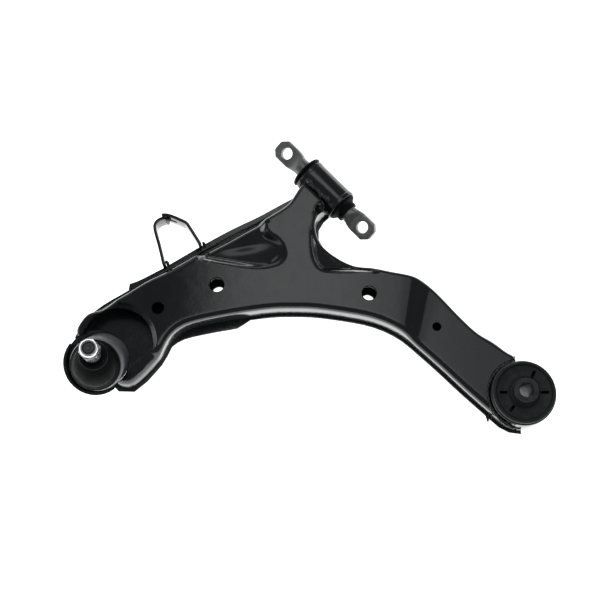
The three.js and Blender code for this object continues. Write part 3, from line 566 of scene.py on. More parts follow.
def bare_steel(name, color=(0.30, 0.30, 0.295), roughness=0.46, metallic=0.9):
    s = Shader(name, color, roughness, metallic)
    s.tint(s.ranged(s.noise(60, 5, 0.6), 0.42, 0.7), tuple(c * 0.66 for c in color))
    s.tint(s.ranged(s.noise(260, 4, 0.6, distortion=0.8), 0.55, 0.72, 0, 0.7),
           tuple(c * 1.3 for c in color))
    s.tint(s.ranged(s.edges(), 0.53, 0.6, 0, 0.6), tuple(min(1, c * 1.7) for c in color))
    s.roughen(s.ranged(s.noise(150, 5), 0.4, 0.7), 0.16)
    s.bump(s.noise(480, 4, 0.6), 0.06)
    s.bump(s.noise(110, 3), 0.1)
    return s.material


def zinc_plate(name):
    s = Shader(name, (0.78, 0.80, 0.80), 0.2, 1.0)
    s.tint(s.ranged(s.noise(130, 4), 0.45, 0.7), (0.60, 0.62, 0.62))
    s.tint(s.ranged(s.noise(35, 2), 0.5, 0.8, 0, 0.3), (0.74, 0.73, 0.66))
    s.roughen(s.ranged(s.noise(300, 4), 0.4, 0.7), 0.16)
    s.bump(s.noise(800, 3), 0.02)
    return s.material


def rubber_skin(name, color, roughness):
    s = Shader(name, color, roughness)
    s.tint(s.ranged(s.noise(45, 4), 0.45, 0.75), tuple(c * 1.7 for c in color))
    s.tint(s.ranged(s.noise(900, 3), 0.62, 0.75, 0, 0.5), (0.06, 0.061, 0.06))
    s.tint(s.ranged(s.edges(), 0.53, 0.6, 0, 0.5), (0.055, 0.056, 0.056))
    s.roughen(s.ranged(s.noise(120, 4), 0.4, 0.7), 0.2)
    s.bump(s.noise(1500, 4, 0.65), 0.035)
    s.bump(s.noise(160, 2), 0.12)
    return s.material


def cast_grey(name):
    """Phosphated steel, light grey with dark specks."""
    s = Shader(name, (0.33, 0.35, 0.355), 0.5, 0.12)
    s.tint(s.ranged(s.noise(50, 4), 0.42, 0.7), (0.26, 0.275, 0.28))
    s.tint(s.ranged(s.cells(260, 1.7), 0.16, 0.1), (0.012, 0.012, 0.012))
    s.roughen(s.ranged(s.noise(220, 4), 0.4, 0.7), 0.2)
    s.bump(s.noise(700, 4, 0.6), 0.05)
    s.bump(s.ranged(s.cells(260, 1.7), 0.16, 0.1), 0.1, 0.6)
    return s.material


def moulded_plastic(name):
    s = Shader(name, (0.60, 0.58, 0.50), 0.42)
    s.tint(s.ranged(s.noise(80, 4), 0.45, 0.7), (0.50, 0.48, 0.40))
    s.roughen(s.ranged(s.noise(300, 3), 0.4, 0.7), 0.18)
    s.bump(s.noise(900, 3), 0.02)
    return s.material


PAINT = black_paint("black_paint")
PAINT_ROUGH = black_paint("black_paint_inner", 0.18, 0.06)
WELD = weld_paint("weld_under_paint")
STEEL = bare_steel("bare_steel")
DARK_CLIP = bare_steel("dark_clip", (0.03, 0.031, 0.032), 0.5, 0.6)
DARK_STEEL = bare_steel("phosphated_steel", (0.075, 0.078, 0.078), 0.5, 0.7)
STUD_STEEL = bare_steel("stud_steel", (0.12, 0.13, 0.14), 0.4, 0.9)
ZINC = zinc_plate("zinc")
RUBBER = rubber_skin("rubber", (0.0055, 0.006, 0.0065), 0.5)
RUBBER.node_tree.nodes["Principled BSDF"].inputs["Specular IOR Level"].default_value = 0.09
BUSH_RUBBER = rubber_skin("bush_rubber", (0.020, 0.0215, 0.022), 0.55)
CAST = cast_grey("housing_grey")
PLASTIC = moulded_plastic("plastic")


def dress(obj, body, slot, material, *nodes, angle=32):
    """Gives a piece its shading, material and body, and hides the CAD nodes it stands for; the slot
    is not used.
    """
    shaded(obj, angle)
    obj.data.materials.clear()
    obj.data.materials.append(material)
    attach(obj, body)
    if nodes:
        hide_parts(*nodes)


def painted(obj, node, material=PAINT, angle=32):
    """A piece of the arm, in black paint unless given another material, which hides the one CAD
    node that it stands for.
    """
    dress(obj, "arm", "black_paint", material, node, angle=angle)


# ------------ outline of the pressing
def nominal_outline():
    return np.array(
        SOUTH_WEST_CORNER
        + [tuple(p) for p in smooth(SOUTH_EDGE, 3)]
        + END_CORNER
        + [tuple(p) for p in smooth(NORTH_EDGE, 3)]
        + [on_front(NECK_HALF, -NECK_REACH), on_front(-NECK_HALF - 1, -NECK_REACH)]
        + [tuple(p) for p in smooth(WEST_EDGE, 3)]
    )


def softened(values, rounds=30):
    """Numbers of a closed ring, blurred along it."""
    for _ in range(rounds):
        values = (np.roll(values, 1) + values * 2 + np.roll(values, -1)) / 4
    return values


def pulled(ring, amount):
    """Each point moved towards the middle of its neighbours."""
    middle = (np.roll(ring, 1, 0) + np.roll(ring, -1, 0)) / 2
    return ring + (middle - ring) * amount


def relaxed(ring, rounds):
    for _ in range(rounds):
        ring = pulled(ring, 0.5)
    return ring


def inward(ring):
    """Unit normals of a closed anticlockwise ring, pointing in."""
    along = np.roll(ring, -1, 0) - np.roll(ring, 1, 0)
    along /= np.linalg.norm(along, axis=1)[:, None]
    return np.stack([-along[:, 1], along[:, 0]], 1)


def area(ring):
    x, y = ring[:, 0], ring[:, 1]
    return 0.5 * np.sum(x * np.roll(y, -1) - np.roll(x, -1) * y)


OUTLINE = resampled(nominal_outline(), OUTLINE_STEP, closed=True)
if area(OUTLINE) < 0:
    OUTLINE = OUTLINE[::-1]
OUTLINE = relaxed(OUTLINE, 10)


def uncrowded(ring, spacing, rounds=5):
    """Spreads points out where moving inwards has pushed them together."""
    for _ in range(rounds):
        gap = np.linalg.norm(np.roll(ring, -1, 0) - ring, axis=1)
        gap = (gap + np.roll(gap, 1)) / 2
        squeeze = np.clip(1.3 * (1 - gap / spacing), 0, 1)
        squeeze = softened(squeeze, 1)
        ring = pulled(ring, (0.5 * squeeze)[:, None])
    return ring


PATH = [OUTLINE]
for _ in range(PATH_RINGS):
    last = PATH[-1]
    PATH.append(uncrowded(last + inward(last) * PATH_STEP, OUTLINE_STEP))
PATH = np.array(PATH)


def inset(amounts):
    """The outline moved inwards by one distance per point, without crossing itself."""
    at = np.clip(np.asarray(amounts, float) / PATH_STEP, 0, len(PATH) - 1.001)
    low_index = at.astype(int)
    part = (at - low_index)[:, None]
    index = np.arange(len(OUTLINE))
    return PATH[low_index, index] * (1 - part) + PATH[low_index + 1, index] * part


ox, oy = OUTLINE[:, 0], OUTLINE[:, 1]
is_west_side = (oy > 0.55 * ox + 84) & (ox > -222) & (ox < -18)
is_south_west = (ox < -152) & (ox > -205) & (oy < -72)
is_south_side = (oy < -0.3 * ox - 5) & (ox > -152) & (ox < 200) & (oy > -150)
# How far the wall leans in over its height, and the radius it rolls over with, by place.
DRAFT = softened(np.where(
    is_west_side, DRAFT_WEST, np.where(is_south_side, DRAFT_SOUTH, DRAFT_ELSEWHERE)))
ROLL = softened(np.where(
    is_south_west, ROLL_CORNER, np.where(is_south_side, ROLL_SOUTH, ROLL_ELSEWHERE)))
POCKET, NECK = (smooth(edge + [edge[0]], 2.5)[:-1] for edge in (POCKET_EDGE, NECK_EDGE))


def depression(points, polygon, start, end, shallow, deep, shoulder):
    """Depth of a pressed-in area that falls from start to end, and its share by place."""
    d = distance(points, polygon) * np.where(inside(points, polygon), 1, -1)
    a, b = np.array(start, float), np.array(end, float)
    t = ((points - a) @ (b - a)) / ((b - a) @ (b - a))
    depth = np.clip(shallow + (deep - shallow) * t, shallow * 0.8, deep * 1.25)
    return depth, step(d, -1.2, shoulder)


def top_height(points):
    """Height of the pressing's top face at plan points."""
    x, y = points[:, 0], points[:, 1]
    bend_middle = BEND_X + BEND_SLANT * (y - BEND_Y)
    bend_spread = BEND_SPREAD + BEND_SPREAD_SLANT * np.clip(y - BEND_Y, -60, 20)
    fallen = 0.5 + 0.5 * np.tanh((x - bend_middle) / bend_spread)
    z = FRONT_TOP_Z - (FRONT_TOP_Z - REAR_TOP_Z) * fallen
    z = z - 0.0023 * np.clip(WEST_DROP_X - x, 0, None) ** 2
    z = z - 0.0016 * np.clip(-120 - x, 0, 60) ** 2 * step(y, -90, -20) * 0.5
    depth, share = depression(points, POCKET, (-45, 15), (-80, 58), 3, 17, 7.5)
    dent = 2.6 * np.exp(-(((x + 66) / 22) ** 2 + ((y - 37 - 0.1 * (x + 66)) / 7) ** 2))
    z = z - (depth + dent) * share
    depth, share = depression(points, NECK, (6, 8), (34, 34), 2.5, 15, 8)
    fold = 1.8 * np.exp(-(((y - 13.5 - 0.1 * (x - 20)) / 5) ** 2))
    fold = fold * step(x, 8, 30) * step(x, 90, 60)
    z = z - (depth + fold) * share
    gap = np.hypot(x - OPENING.x, y - OPENING.y)
    return z - LIP_SLOPE * np.clip(OPENING_R + LIP_REACH - gap, 0, 8)


def grid_inside(ring, spacing, margin):
    """Points of a triangular grid that keep a margin from a ring round them."""
    low_corner, high_corner = ring.min(0), ring.max(0)
    xs = np.arange(low_corner[0], high_corner[0], spacing)
    ys = np.arange(low_corner[1], high_corner[1], spacing * 0.866)
    gx, gy = np.meshgrid(xs, ys)
    gx = gx + (np.arange(len(ys)) % 2)[:, None] * spacing / 2
    points = np.stack([gx.ravel(), gy.ravel()], 1)
    points = points[inside(points, ring)]
    return points[distance(points, ring) > margin]


def close_loops(obj):
    """Fills the slivers that crowded rim points leave out of the top face."""
    with edited(obj.data) as bm:
        rim = [e for e in bm.edges if e.is_boundary]
        if rim:
            bmesh.ops.holes_fill(bm, edges=rim, sides=0)


def pressed_body(name, shrink, low_z, spacing):
    """The filled body of the pressing, shrunk on all sides by a thickness."""
    draft_angle = np.arctan2(DRAFT, DRAFT_HEIGHT)
    roll = ROLL - shrink
    first = inset(np.full(len(OUTLINE), UPPER_INSET + shrink))
    top_ring = inset(UPPER_INSET + shrink + (DRAFT + roll * np.cos(draft_angle)))
    top_z = top_height(top_ring) - shrink
    start_z = top_z - roll * (1 - np.sin(draft_angle))
    rings, heights = [first], [np.full(len(OUTLINE), float(low_z))]
    for share in (0.34, 0.67, 1.0):
        rings.append(inset(UPPER_INSET + shrink + DRAFT * share))
        wall_low = max(low_z, SHELL_LOW)
        heights.append(wall_low + (start_z - wall_low) * share)
    for k in range(1, ROLL_STEPS + 1):
        angle = draft_angle + (math.pi / 2 - draft_angle) * k / ROLL_STEPS
        away = DRAFT + roll * (np.cos(draft_angle) - np.cos(angle))
        rings.append(inset(UPPER_INSET + shrink + away))
        heights.append(start_z + roll * (np.sin(angle) - np.sin(draft_angle)))
    count = len(OUTLINE)
    points = [np.column_stack([r, h]) for r, h in zip(rings, heights)]
    faces = stitched(len(rings), count)
    faces.append(tuple(reversed(range(count))))
    ring = rings[-1]
    inner = grid_inside(ring, spacing, spacing * 0.6)
    # Circles of points carry the sharp fold of the dip round the opening.
    turns = np.linspace(0, 2 * math.pi, 150, endpoint=False)
    unit = np.stack([np.cos(turns), np.sin(turns)], 1)
    extra = np.concatenate([
        np.array(OPENING)[:2] + (OPENING_R + r) * unit for r in (LIP_REACH, 3, 1.5, 0, -2)])
    extra = extra[inside(extra, ring)]
    extra = extra[distance(extra, ring) > 0.8]
    near = np.hypot(inner[:, 0] - OPENING.x, inner[:, 1] - OPENING.y)
    inner = inner[(near < OPENING_R - 2.6) | (near > OPENING_R + LIP_REACH + 1)]
    inner = np.concatenate([inner, extra])
    verts = [Vector(p) for p in np.concatenate([ring, inner])]
    edges = [(i, (i + 1) % count) for i in range(count)]
    flat, _, made, source, _, _ = delaunay_2d_cdt(verts, edges, [], 1, 1e-5)
    flat = np.array([tuple(v) for v in flat])
    base = (len(rings) - 1) * count
    top = np.column_stack([flat, top_height(flat) - shrink])
    number, extra_points = [], []
    for point, origins in zip(top, source):
        on_ring = [o for o in origins if o < count]
        if on_ring:
            number.append(base + on_ring[0])
        else:
            number.append(len(rings) * count + len(extra_points))
            extra_points.append(point)
    faces += [tuple(number[i] for i in face) for face in made]
    body = new_object(name, np.concatenate(points + [np.array(extra_points)]), faces)
    close_loops(body)
    return body


def drum(name, r, z0, z1, matrix, facets=128):
    return turned(name, [(0, z0), (r, z0), (r, z1), (0, z1)], matrix, facets)


def hole_cutter(x, y, r, top):
    """A drill with a small flare where it enters the face."""
    profile = [(0, top - 30), (r, top - 30), (r, top - 1.1), (r + 0.25, top - 0.45),
               (r + 0.9, top + 0.12), (r + 2, top + 4), (0, top + 4)]
    return turned("cutter", profile, upright(x, y), 56)


upper = pressed_body("upper_pressing", 0.0, SHELL_LOW, 1.9)
upper = boolean(
    upper, "DIFFERENCE",
    pressed_body("inner", SHEET, 0.0, 3.2),
    drum("c", OPENING_R, -50, 120, upright(OPENING.x, OPENING.y), 160),
    drum("c", TUBE_R + TUBE_BAND_STEP + FIT, -2 * TUBE_HALF, 2 * TUBE_HALF, front),
    drum("c", ARC_CUT_R, REAR_TOP_Z - 6, 120, rear, 160),
    drum("c", RING_R + FIT, -50, 120, rear, 160),
    drum("c", CUP_R + FIT, CUP_LOW - 12, CUP_RIM + NOTCH, cup, 160),
    drum("c", HOUSING_R + 1, -60, 60, housing),
)
for x, y, r in HOLES:
    level = float(top_height(np.array([[x, y]], float))[0])
    upper = boolean(upper, "DIFFERENCE", hole_cutter(x, y, r, level))
painted(upper, "upper_shell", angle=38)

# ------------ lower pressing
def from_node(name, node):
    """A new piece on the outline of a CAD node, ready to be refined."""
    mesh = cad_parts[node].data.copy()
    with edited(mesh) as bm:
        bmesh.ops.remove_doubles(bm, verts=bm.verts, dist=MERGE)
        bmesh.ops.dissolve_limit(
            bm, angle_limit=math.radians(0.6), verts=bm.verts, edges=bm.edges,
            use_dissolve_boundaries=False)
    return linked(name, mesh)


lower = bevelled(from_node("lower_pressing", "lower_shell"), 0.55, 2, 40)
painted(lower, "lower_shell", PAINT_ROUGH, angle=30)
LEAST_FLAT_AREA = 6 * MM * MM
for face in lower.data.polygons:
    if face.area > LEAST_FLAT_AREA and abs(face.normal.z) > 0.999:
        face.use_smooth = False

# ------------ front bush
band_r = TUBE_R + TUBE_BAND_STEP
tube_in = TUBE_R - TUBE_WALL
band_start = TUBE_HALF - TUBE_BAND
tube = turned("front_tube", fillet([
    (tube_in, -TUBE_HALF), (band_r, -TUBE_HALF), (band_r, -band_start), (TUBE_R, -band_start + 0.5),
    (TUBE_R, band_start - 0.5), (band_r, band_start), (band_r, TUBE_HALF), (tube_in, TUBE_HALF),
], [0.4, 1.1, 0.5, 0.5, 0.5, 0.5, 1.1, 0.4]), front, 128)
painted(tube, "front_bush_tube")

sleeve_out = tube_in - FIT
sleeve_in = sleeve_out - SLEEVE_WALL
sleeve = turned("front_sleeve", fillet(
    pipe(sleeve_in, sleeve_out, -TUBE_HALF + 1, TUBE_HALF - 1), 0.4), front)
dress(sleeve, "arm", "bare_steel", STEEL, "front_bush_outer_sleeve")

rubber_out = sleeve_in - FIT
rubber_in = BAR_R + FIT
disc_in = TUBE_HALF + FIT
disc_out = -disc_in - RUBBER_DISC_T
front_rubber = turned("front_rubber", fillet([
    (rubber_in, disc_out + 0.6), (rubber_in + 2.2, disc_out), (rubber_in + 4, disc_out + 0.9),
    (RUBBER_DISC_R - 3, disc_out + 0.9), (RUBBER_DISC_R - 1.6, disc_out),
    (RUBBER_DISC_R, disc_out + 1.6),
    (RUBBER_DISC_R, -disc_in - 2.2), (RUBBER_DISC_R - 1.1, -disc_in - 1.7),
    (RUBBER_DISC_R - 1.1, -disc_in - 0.9), (RUBBER_DISC_R - 1.6, -disc_in),
    (rubber_out, -disc_in), (rubber_out, disc_in), (tube_in + 1.6, disc_in),
    (tube_in + 1.2, disc_in + 2), (BAR_R + 2.8, disc_in + 4.6), (BAR_R + 2.0, disc_in + 6.4),
    (BAR_R + 2.5, disc_in + 7.4), (BAR_R + 2.3, disc_in + RUBBER_NECK - 1),
    (BAR_R + 1.6, disc_in + RUBBER_NECK), (rubber_in, disc_in + RUBBER_NECK),
], [0.5, 1, 0.8, 0.8, 0.8, 1, 0.6, 0.4, 0.4, 0.5, 0.3, 0.3, 0.5, 1.2, 1.6, 0.8, 0.8, 0.8,
    0.5, 0.3]), front, 112)
dress(front_rubber, "arm", "rubber", RUBBER, "front_bush_rubber")


def forged_bar():
    """Round middle, flattened by forging into an eyelet at each end."""
    stations = np.concatenate([
        np.linspace(0, BAR_ROUND_HALF - 2, 8), np.linspace(BAR_ROUND_HALF - 1, 52, 24),
        np.linspace(53.5, BAR_HALF - EYELET_CHAMFER, 6),
        np.linspace(BAR_HALF - EYELET_CHAMFER + 0.5, BAR_HALF - 0.8, 8),
        [BAR_HALF - 0.25, BAR_HALF]])
    stations = np.concatenate([-stations[:0:-1], stations])
    angles = np.linspace(0, 2 * math.pi, 64, endpoint=False)
    c, s = np.cos(angles), np.sin(angles)
    rings = []
    for u in stations:
        a = abs(u)
        past_edge = max(0.0, a - (BAR_HALF - 0.5)) / 0.5
        flat = float(step(a, BAR_ROUND_HALF - 1, 47))
        wide = BAR_R + (EYELET_W / 2 - BAR_R) * float(step(a, BAR_ROUND_HALF, 50))
        wide -= max(0.0, a - (BAR_HALF - EYELET_CHAMFER)) * 0.97
        wide -= 0.7 * past_edge
        thick = BAR_R + (EYELET_T / 2 - BAR_R) * flat - 0.7 * past_edge
        power = 2 / (2 + 6 * float(step(a, BAR_ROUND_HALF, 49)))
        x = wide * np.sign(c) * np.abs(c) ** power
        y = thick * np.sign(s) * np.abs(s) ** power
        rings.append(np.column_stack([x, y, np.full(len(angles), u)]))
    size = len(angles)
    faces = stitched(len(rings), size)
    faces.append(tuple(reversed(range(size))))
    faces.append(tuple((len(rings) - 1) * size + i for i in range(size)))
    obj = new_object("cross_bar", moved(np.concatenate(rings), bar_frame), faces)
    across = Vector(bar_frame.col[1][:3])
    for side in (1, -1):
        centre = FRONT + ALONG * (side * EYE_PITCH / 2)
        half = EYELET_T / 2
        profile = [
            (0, -half - 3), (EYE_R + 1, -half - 3), (EYE_R + 1, -half), (EYE_R + 0.3, -half + 0.4),
            (EYE_R, -half + 0.9), (EYE_R, half - 0.9), (EYE_R + 0.3, half - 0.4),
            (EYE_R + 1, half), (EYE_R + 1, half + 3), (0, half + 3)]
        obj = boolean(obj, "DIFFERENCE", turned("c", profile, placed(centre, across), 72))
    return obj


dress(forged_bar(), "front_bar", "bare_steel", STEEL, "front_bush_bar", angle=40)

# ------------ rear bush
ring_in = RING_R - RING_WALL
ring = turned("rear_ring", fillet(
    pipe(ring_in, RING_R, RING_Z0, RING_TOP), [0.4, 1.2, 1.2, 0.4]), rear, 144)
painted(ring, "rear_bush_ring")
rear_out = ring_in - FIT
rear_in = rear_out - REAR_SLEEVE_WALL
rear_sleeve = turned("rear_outer_sleeve", fillet(
    pipe(rear_in, rear_out, RING_Z0 + 1, RING_TOP - 1), 0.5), rear, 128)
dress(rear_sleeve, "arm", "bare_steel", STEEL, "rear_bush_outer_sleeve")

flange_z = RING_TOP + FIT
body_out = rear_in - FIT
body_in = REAR_INNER_R + 4.6
rim_in = REAR_FLANGE_R - REAR_RIM
dish_z = REAR_FLANGE_TOP - REAR_DISH
rear_rubber = turned("rear_rubber", fillet([
    (body_in, RING_Z0 + 3.4), (body_in + 2, RING_Z0 + 6), (body_out - 5, RING_Z0 + 6),
    (body_out - 2.4, RING_Z0 + 3), (body_out, RING_Z0 + 3), (body_out, flange_z),
    (REAR_FLANGE_R - 0.4, flange_z), (REAR_FLANGE_R, flange_z + 1.4),
    (REAR_FLANGE_R - 0.5, flange_z + 2.4), (REAR_FLANGE_R, flange_z + 3.2),
    (REAR_FLANGE_R - 0.6, REAR_FLANGE_TOP - 0.5), (REAR_FLANGE_R - 1.5, REAR_FLANGE_TOP),
    (rim_in + 1.6, REAR_FLANGE_TOP), (rim_in + 0.7, REAR_FLANGE_TOP - 0.5), (rim_in, dish_z),
    (rim_in - 4, dish_z - 0.5), (body_in + 4, dish_z - 0.9), (body_in, dish_z - 0.5),
], [0.8, 1.2, 1.2, 0.8, 0.3, 0.3, 0.5, 0.5, 0.5, 0.4, 0.6, 0.8, 0.6, 0.5, 0.8, 2, 1.5, 0.5]),
    rear, 160)
for degrees in SLOT_DEG:
    spot = rear @ Matrix.Rotation(math.radians(degrees), 4, "Z")
    outline = fillet(pipe(SLOT_IN, SLOT_OUT, -SLOT_W / 2, SLOT_W / 2), 1.4, 6)
    low_ring = [(x, y, dish_z - SLOT_DEPTH) for x, y in outline]
    high_ring = [(x, y, dish_z + 6) for x, y in outline]
    rear_rubber = boolean(rear_rubber, "DIFFERENCE", prism("c", low_ring, high_ring, spot))
dress(rear_rubber, "arm", "rubber", BUSH_RUBBER, "rear_bush_rubber")

# The inner part of the rubber follows the sleeve that it is bonded to.
web_in = REAR_INNER_R + 0.06
web_out = body_in + 0.5
web = turned("rear_rubber_web", fillet([
    (web_in, RING_Z0 + 2.2), (web_in + 2.4, RING_Z0 + 3), (web_out, RING_Z0 + 4.6),
    (web_out, dish_z - 0.8), (web_in + 3.4, dish_z + 0.2), (web_in + 2.2, REAR_FLANGE_TOP + 0.4),
    (web_in + 1.2, REAR_FLANGE_TOP + 0.9), (web_in, REAR_FLANGE_TOP + 0.9),
], [0.3, 0.8, 0.6, 0.6, 1.6, 0.8, 0.5, 0.3]), rear, 128)
dress(web, "rear_sleeve", "rubber", BUSH_RUBBER)
inner = turned("rear_inner_sleeve", fillet(
    pipe(REAR_BORE_R, REAR_INNER_R, 0, REAR_INNER_TOP), [0.9, 0.8, 0.8, 0.9]), rear, 112)
dress(inner, "rear_sleeve", "bare_steel", DARK_STEEL, "rear_bush_inner_sleeve")

# ------------ ball joint
seat_bore = SEAT_R + FIT
cap_bore = CAP_R + FIT
cap_seat = SEAT_LOW - FIT
cap_low = cap_seat - CAP_T - FIT
housing_piece = turned("housing", fillet([
    (seat_bore, cap_seat), (cap_bore, cap_seat), (cap_bore, cap_low),
    (cap_bore - 1.4, cap_low - 0.4), (cap_bore - 1.4, HOUSING_LOW + 6),
    (cap_bore + 2, HOUSING_LOW), (HOUSING_R - 2, HOUSING_LOW),
    (HOUSING_R, HOUSING_LOW + 2), (HOUSING_R, 6.5), (HOUSING_R - 0.8, 8.4),
    (SHOULDER_R, 9.6), (GROOVE_R, 9.8), (GROOVE_R, HOUSING_TOP - 1), (GROOVE_R - 1, HOUSING_TOP),
    (17.2, HOUSING_TOP), (14.2, SEAT_TOP + FIT), (seat_bore, SEAT_TOP + FIT),
], [0.2, 0.2, 0.1, 0.1, 0.8, 0.8, 1, 1.4, 1.2, 1.2, 0.8, 0.4, 0.4, 0.4, 0.8, 0.6, 0.2]),
    housing, 144)
painted(housing_piece, "ball_joint_housing", CAST)
end_cap = turned("end_cap", fillet([
    (0, cap_low + 1.3), (8, cap_low + 1.1), (14, cap_low + 0.1),
    (CAP_R, cap_low + 0.1), (CAP_R, cap_seat - FIT), (0, cap_seat - FIT),
], [0, 2, 1.6, 0.7, 0.5, 0], closed=False), housing, 96)
dress(end_cap, "arm", "bare_steel", DARK_STEEL, "ball_joint_end_cap")
seat_arc = [(math.sqrt(max(0.0, (BALL_R + FIT) ** 2 - z * z)), float(z))
            for z in np.arange(SEAT_TOP, SEAT_LOW + 2, -1.2)]
seat_piece = turned("ball_seat", [
    (seat_arc[-1][0], SEAT_LOW), (SEAT_R - 0.5, SEAT_LOW), (SEAT_R, SEAT_LOW + 0.5),
    (SEAT_R, SEAT_TOP)] + seat_arc, housing, 72)
dress(seat_piece, "arm", "plastic", PLASTIC, "ball_joint_seat")

ball_flat = 10.5
ball_angles = np.linspace(math.asin(-ball_flat / BALL_R), math.acos(STUD_NECK_R / BALL_R), 26)
ball_arc = [(BALL_R * math.cos(a), BALL_R * math.sin(a)) for a in ball_angles]
thread_depth, thread_pitch = 0.55, 1.25
turns = np.arange(TAPER_TOP + 1.4, STUD_TOP - 1.2, thread_pitch / 2)
thread = [(STUD_THREAD_R - (0 if k % 2 else thread_depth), float(z)) for k, z in enumerate(turns)]
ball_stud = turned("stud", [(0, -ball_flat)] + ball_arc + fillet([
    (STUD_NECK_R, 14.5), (STUD_NECK_R, 18), (STUD_NECK_R + 0.9, 24), (STUD_TAPER_R, 28),
    (STUD_TAPER_R, BOOT_TOP + 1), (STUD_THREAD_R + 1, TAPER_TOP),
    (STUD_THREAD_R - thread_depth, TAPER_TOP + 0.8),
], [0, 1, 1.5, 1, 0.8, 0.4, 0], closed=False) + thread + fillet([
    (STUD_THREAD_R - 0.2, STUD_TOP - 1.0), (STUD_THREAD_R - 1.0, STUD_TOP), (2.6, STUD_TOP),
    (2.2, STUD_TOP - 0.5), (0, STUD_TOP - 0.6)], [0, 0.3, 0.2, 0.2, 0], closed=False), stud, 72)
dress(ball_stud, "stud", "bare_steel", STUD_STEEL, "ball_stud", angle=50)


def lock_nut():
    corner = NUT_AF / math.sqrt(3)
    nut_top = NUT_SEAT + NUT_H
    collar_top = nut_top + NUT_COLLAR_H
    turns = [math.pi / 3 * i + math.pi / 12 for i in range(6)]
    low_ring, high_ring = (
        [(corner * math.cos(a), corner * math.sin(a), z) for a in turns]
        for z in (NUT_SEAT, nut_top))
    block = bevelled(prism("lock_nut_piece", low_ring, high_ring, stud), 0.5, 2, 30)
    block = boolean(block, "INTERSECT", turned("c", [
        (0, NUT_SEAT - 1), (corner - 1.0, NUT_SEAT - 1), (corner - 0.9, NUT_SEAT + 0.05),
        (corner + 0.3, NUT_SEAT + 0.8), (corner + 0.3, nut_top - 2.2),
        (corner - 0.6, nut_top - 1.0), (corner - 2.2, nut_top), (0, nut_top)], stud, 120))
    block = boolean(block, "UNION", turned("c", [(0, nut_top - 1)] + fillet([
        (NUT_COLLAR_R - 0.1, nut_top - 1), (NUT_COLLAR_R - 0.1, nut_top),
        (NUT_COLLAR_R, nut_top + 0.4), (NUT_COLLAR_R, collar_top - 1.8),
        (NUT_COLLAR_R - 1.6, collar_top)],
        [0, 0.2, 0.3, 1.2, 0.6], closed=False) + [(0, collar_top)], stud, 120))
    bore = fillet([
        (THREAD_GAP_R + 0.9, NUT_SEAT - 0.6), (THREAD_GAP_R, NUT_SEAT + 0.7),
        (THREAD_GAP_R, nut_top + 1.4), (INSERT_R + FIT, nut_top + 1.4),
        (INSERT_R + FIT, collar_top - 1.1), (INSERT_R - 0.7, collar_top - 0.3),
        (INSERT_R - 0.7, collar_top + 2),
    ], [0, 0.2, 0, 0, 0.3, 0.3, 0], closed=False)
    return boolean(block, "DIFFERENCE", turned(
        "c", [(0, NUT_SEAT - 0.6)] + bore + [(0, collar_top + 2)], stud))


dress(lock_nut(), "stud", "zinc", ZINC, "lock_nut", angle=28)
insert = turned("nut_insert", fillet(
    pipe(THREAD_GAP_R, INSERT_R, STUD_TOP - 3, STUD_TOP), 0.4), stud, 72)
dress(insert, "stud", "plastic", PLASTIC, "lock_nut_insert")


# ------------ dust boot
def dust_boot():
    """Turned about the housing's axis below and about the stud's axis above."""
    boot_in = GROOVE_R + FIT
    boot_out = boot_in + BOOT_WALL
    collar_in = STUD_TAPER_R + 0.12
    profile = fillet([
        (boot_in, 10.2), (boot_out - 0.4, 10.2), (boot_out, 11), (boot_out - 0.1, 11.5),
        (boot_out - 0.1, 13.7), (boot_out, 14.2), (23.6, 15.8), (22.2, 17.2), (22.0, 19.4),
        (20.6, 22.4), (18.7, 24.8), (16.6, 26.6), (14.6, 28.4), (13.5, 29.6), (13.3, 31.0),
        (13.3, 33.3), (13.6, 33.9), (12.9, BOOT_TOP - 0.6), (11.6, BOOT_TOP),
        (collar_in + 1, BOOT_TOP - 0.2), (collar_in, BOOT_TOP - 0.6), (collar_in, 29.8),
        (12.0, 27.8), (14.9, 25.9), (17.5, 23.1), (19.6, 19.2), (20.4, HOUSING_TOP + 2.4),
        (boot_in, HOUSING_TOP + 0.8),
    ], 0.9)
    facets = 128
    angles = np.linspace(0, 2 * math.pi, facets, endpoint=False)
    rings = []
    for r, z in profile:
        local = np.column_stack([r * np.cos(angles), r * np.sin(angles), np.full(facets, z)])
        share = float(step(z, HOUSING_TOP + 1, BOOT_TOP - 6))
        rings.append(moved(local, housing) * (1 - share) + moved(local, stud) * share)
    return new_object("boot", np.concatenate(rings), stitched(len(profile), facets, closed=True))


boot_piece = dust_boot()
shaded(boot_piece, 60)
boot_piece.data.materials.append(RUBBER)
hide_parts("dust_boot")
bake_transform(boot_piece)


def wire_ring(name, r, z, wire, matrix):
    """A round-section ring, as a bent wire clip."""
    angles = np.linspace(0, 2 * math.pi, 14, endpoint=False)
    profile = [(r + wire * math.cos(a), z + wire * math.sin(a)) for a in angles]
    return turned(name, profile, matrix, 128)


ring_on = GROOVE_R + FIT + BOOT_WALL
lower_clip = wire_ring("boot_clip_lower", ring_on + 0.75, 12.6, 0.85, housing)
dress(lower_clip, "arm", "clip_steel", DARK_CLIP, "boot_lower_ring")
upper_clip = wire_ring("boot_clip_upper", 14.05, 32.2, 0.7, stud)
dress(upper_clip, "stud_swivel", "clip_steel", DARK_CLIP, "boot_upper_ring")


# ------------ bracket and welds
def bracket_strip(name, plan):
    line = smooth(plan, 0.9)
    path = np.column_stack([line, np.full(len(line), STRIP_MIDDLE_Z)])
    outline = np.array(fillet(rectangle(STRIP_T, STRIP_W), 0.7, 3))
    return sweep(name, path, lambda i: outline)


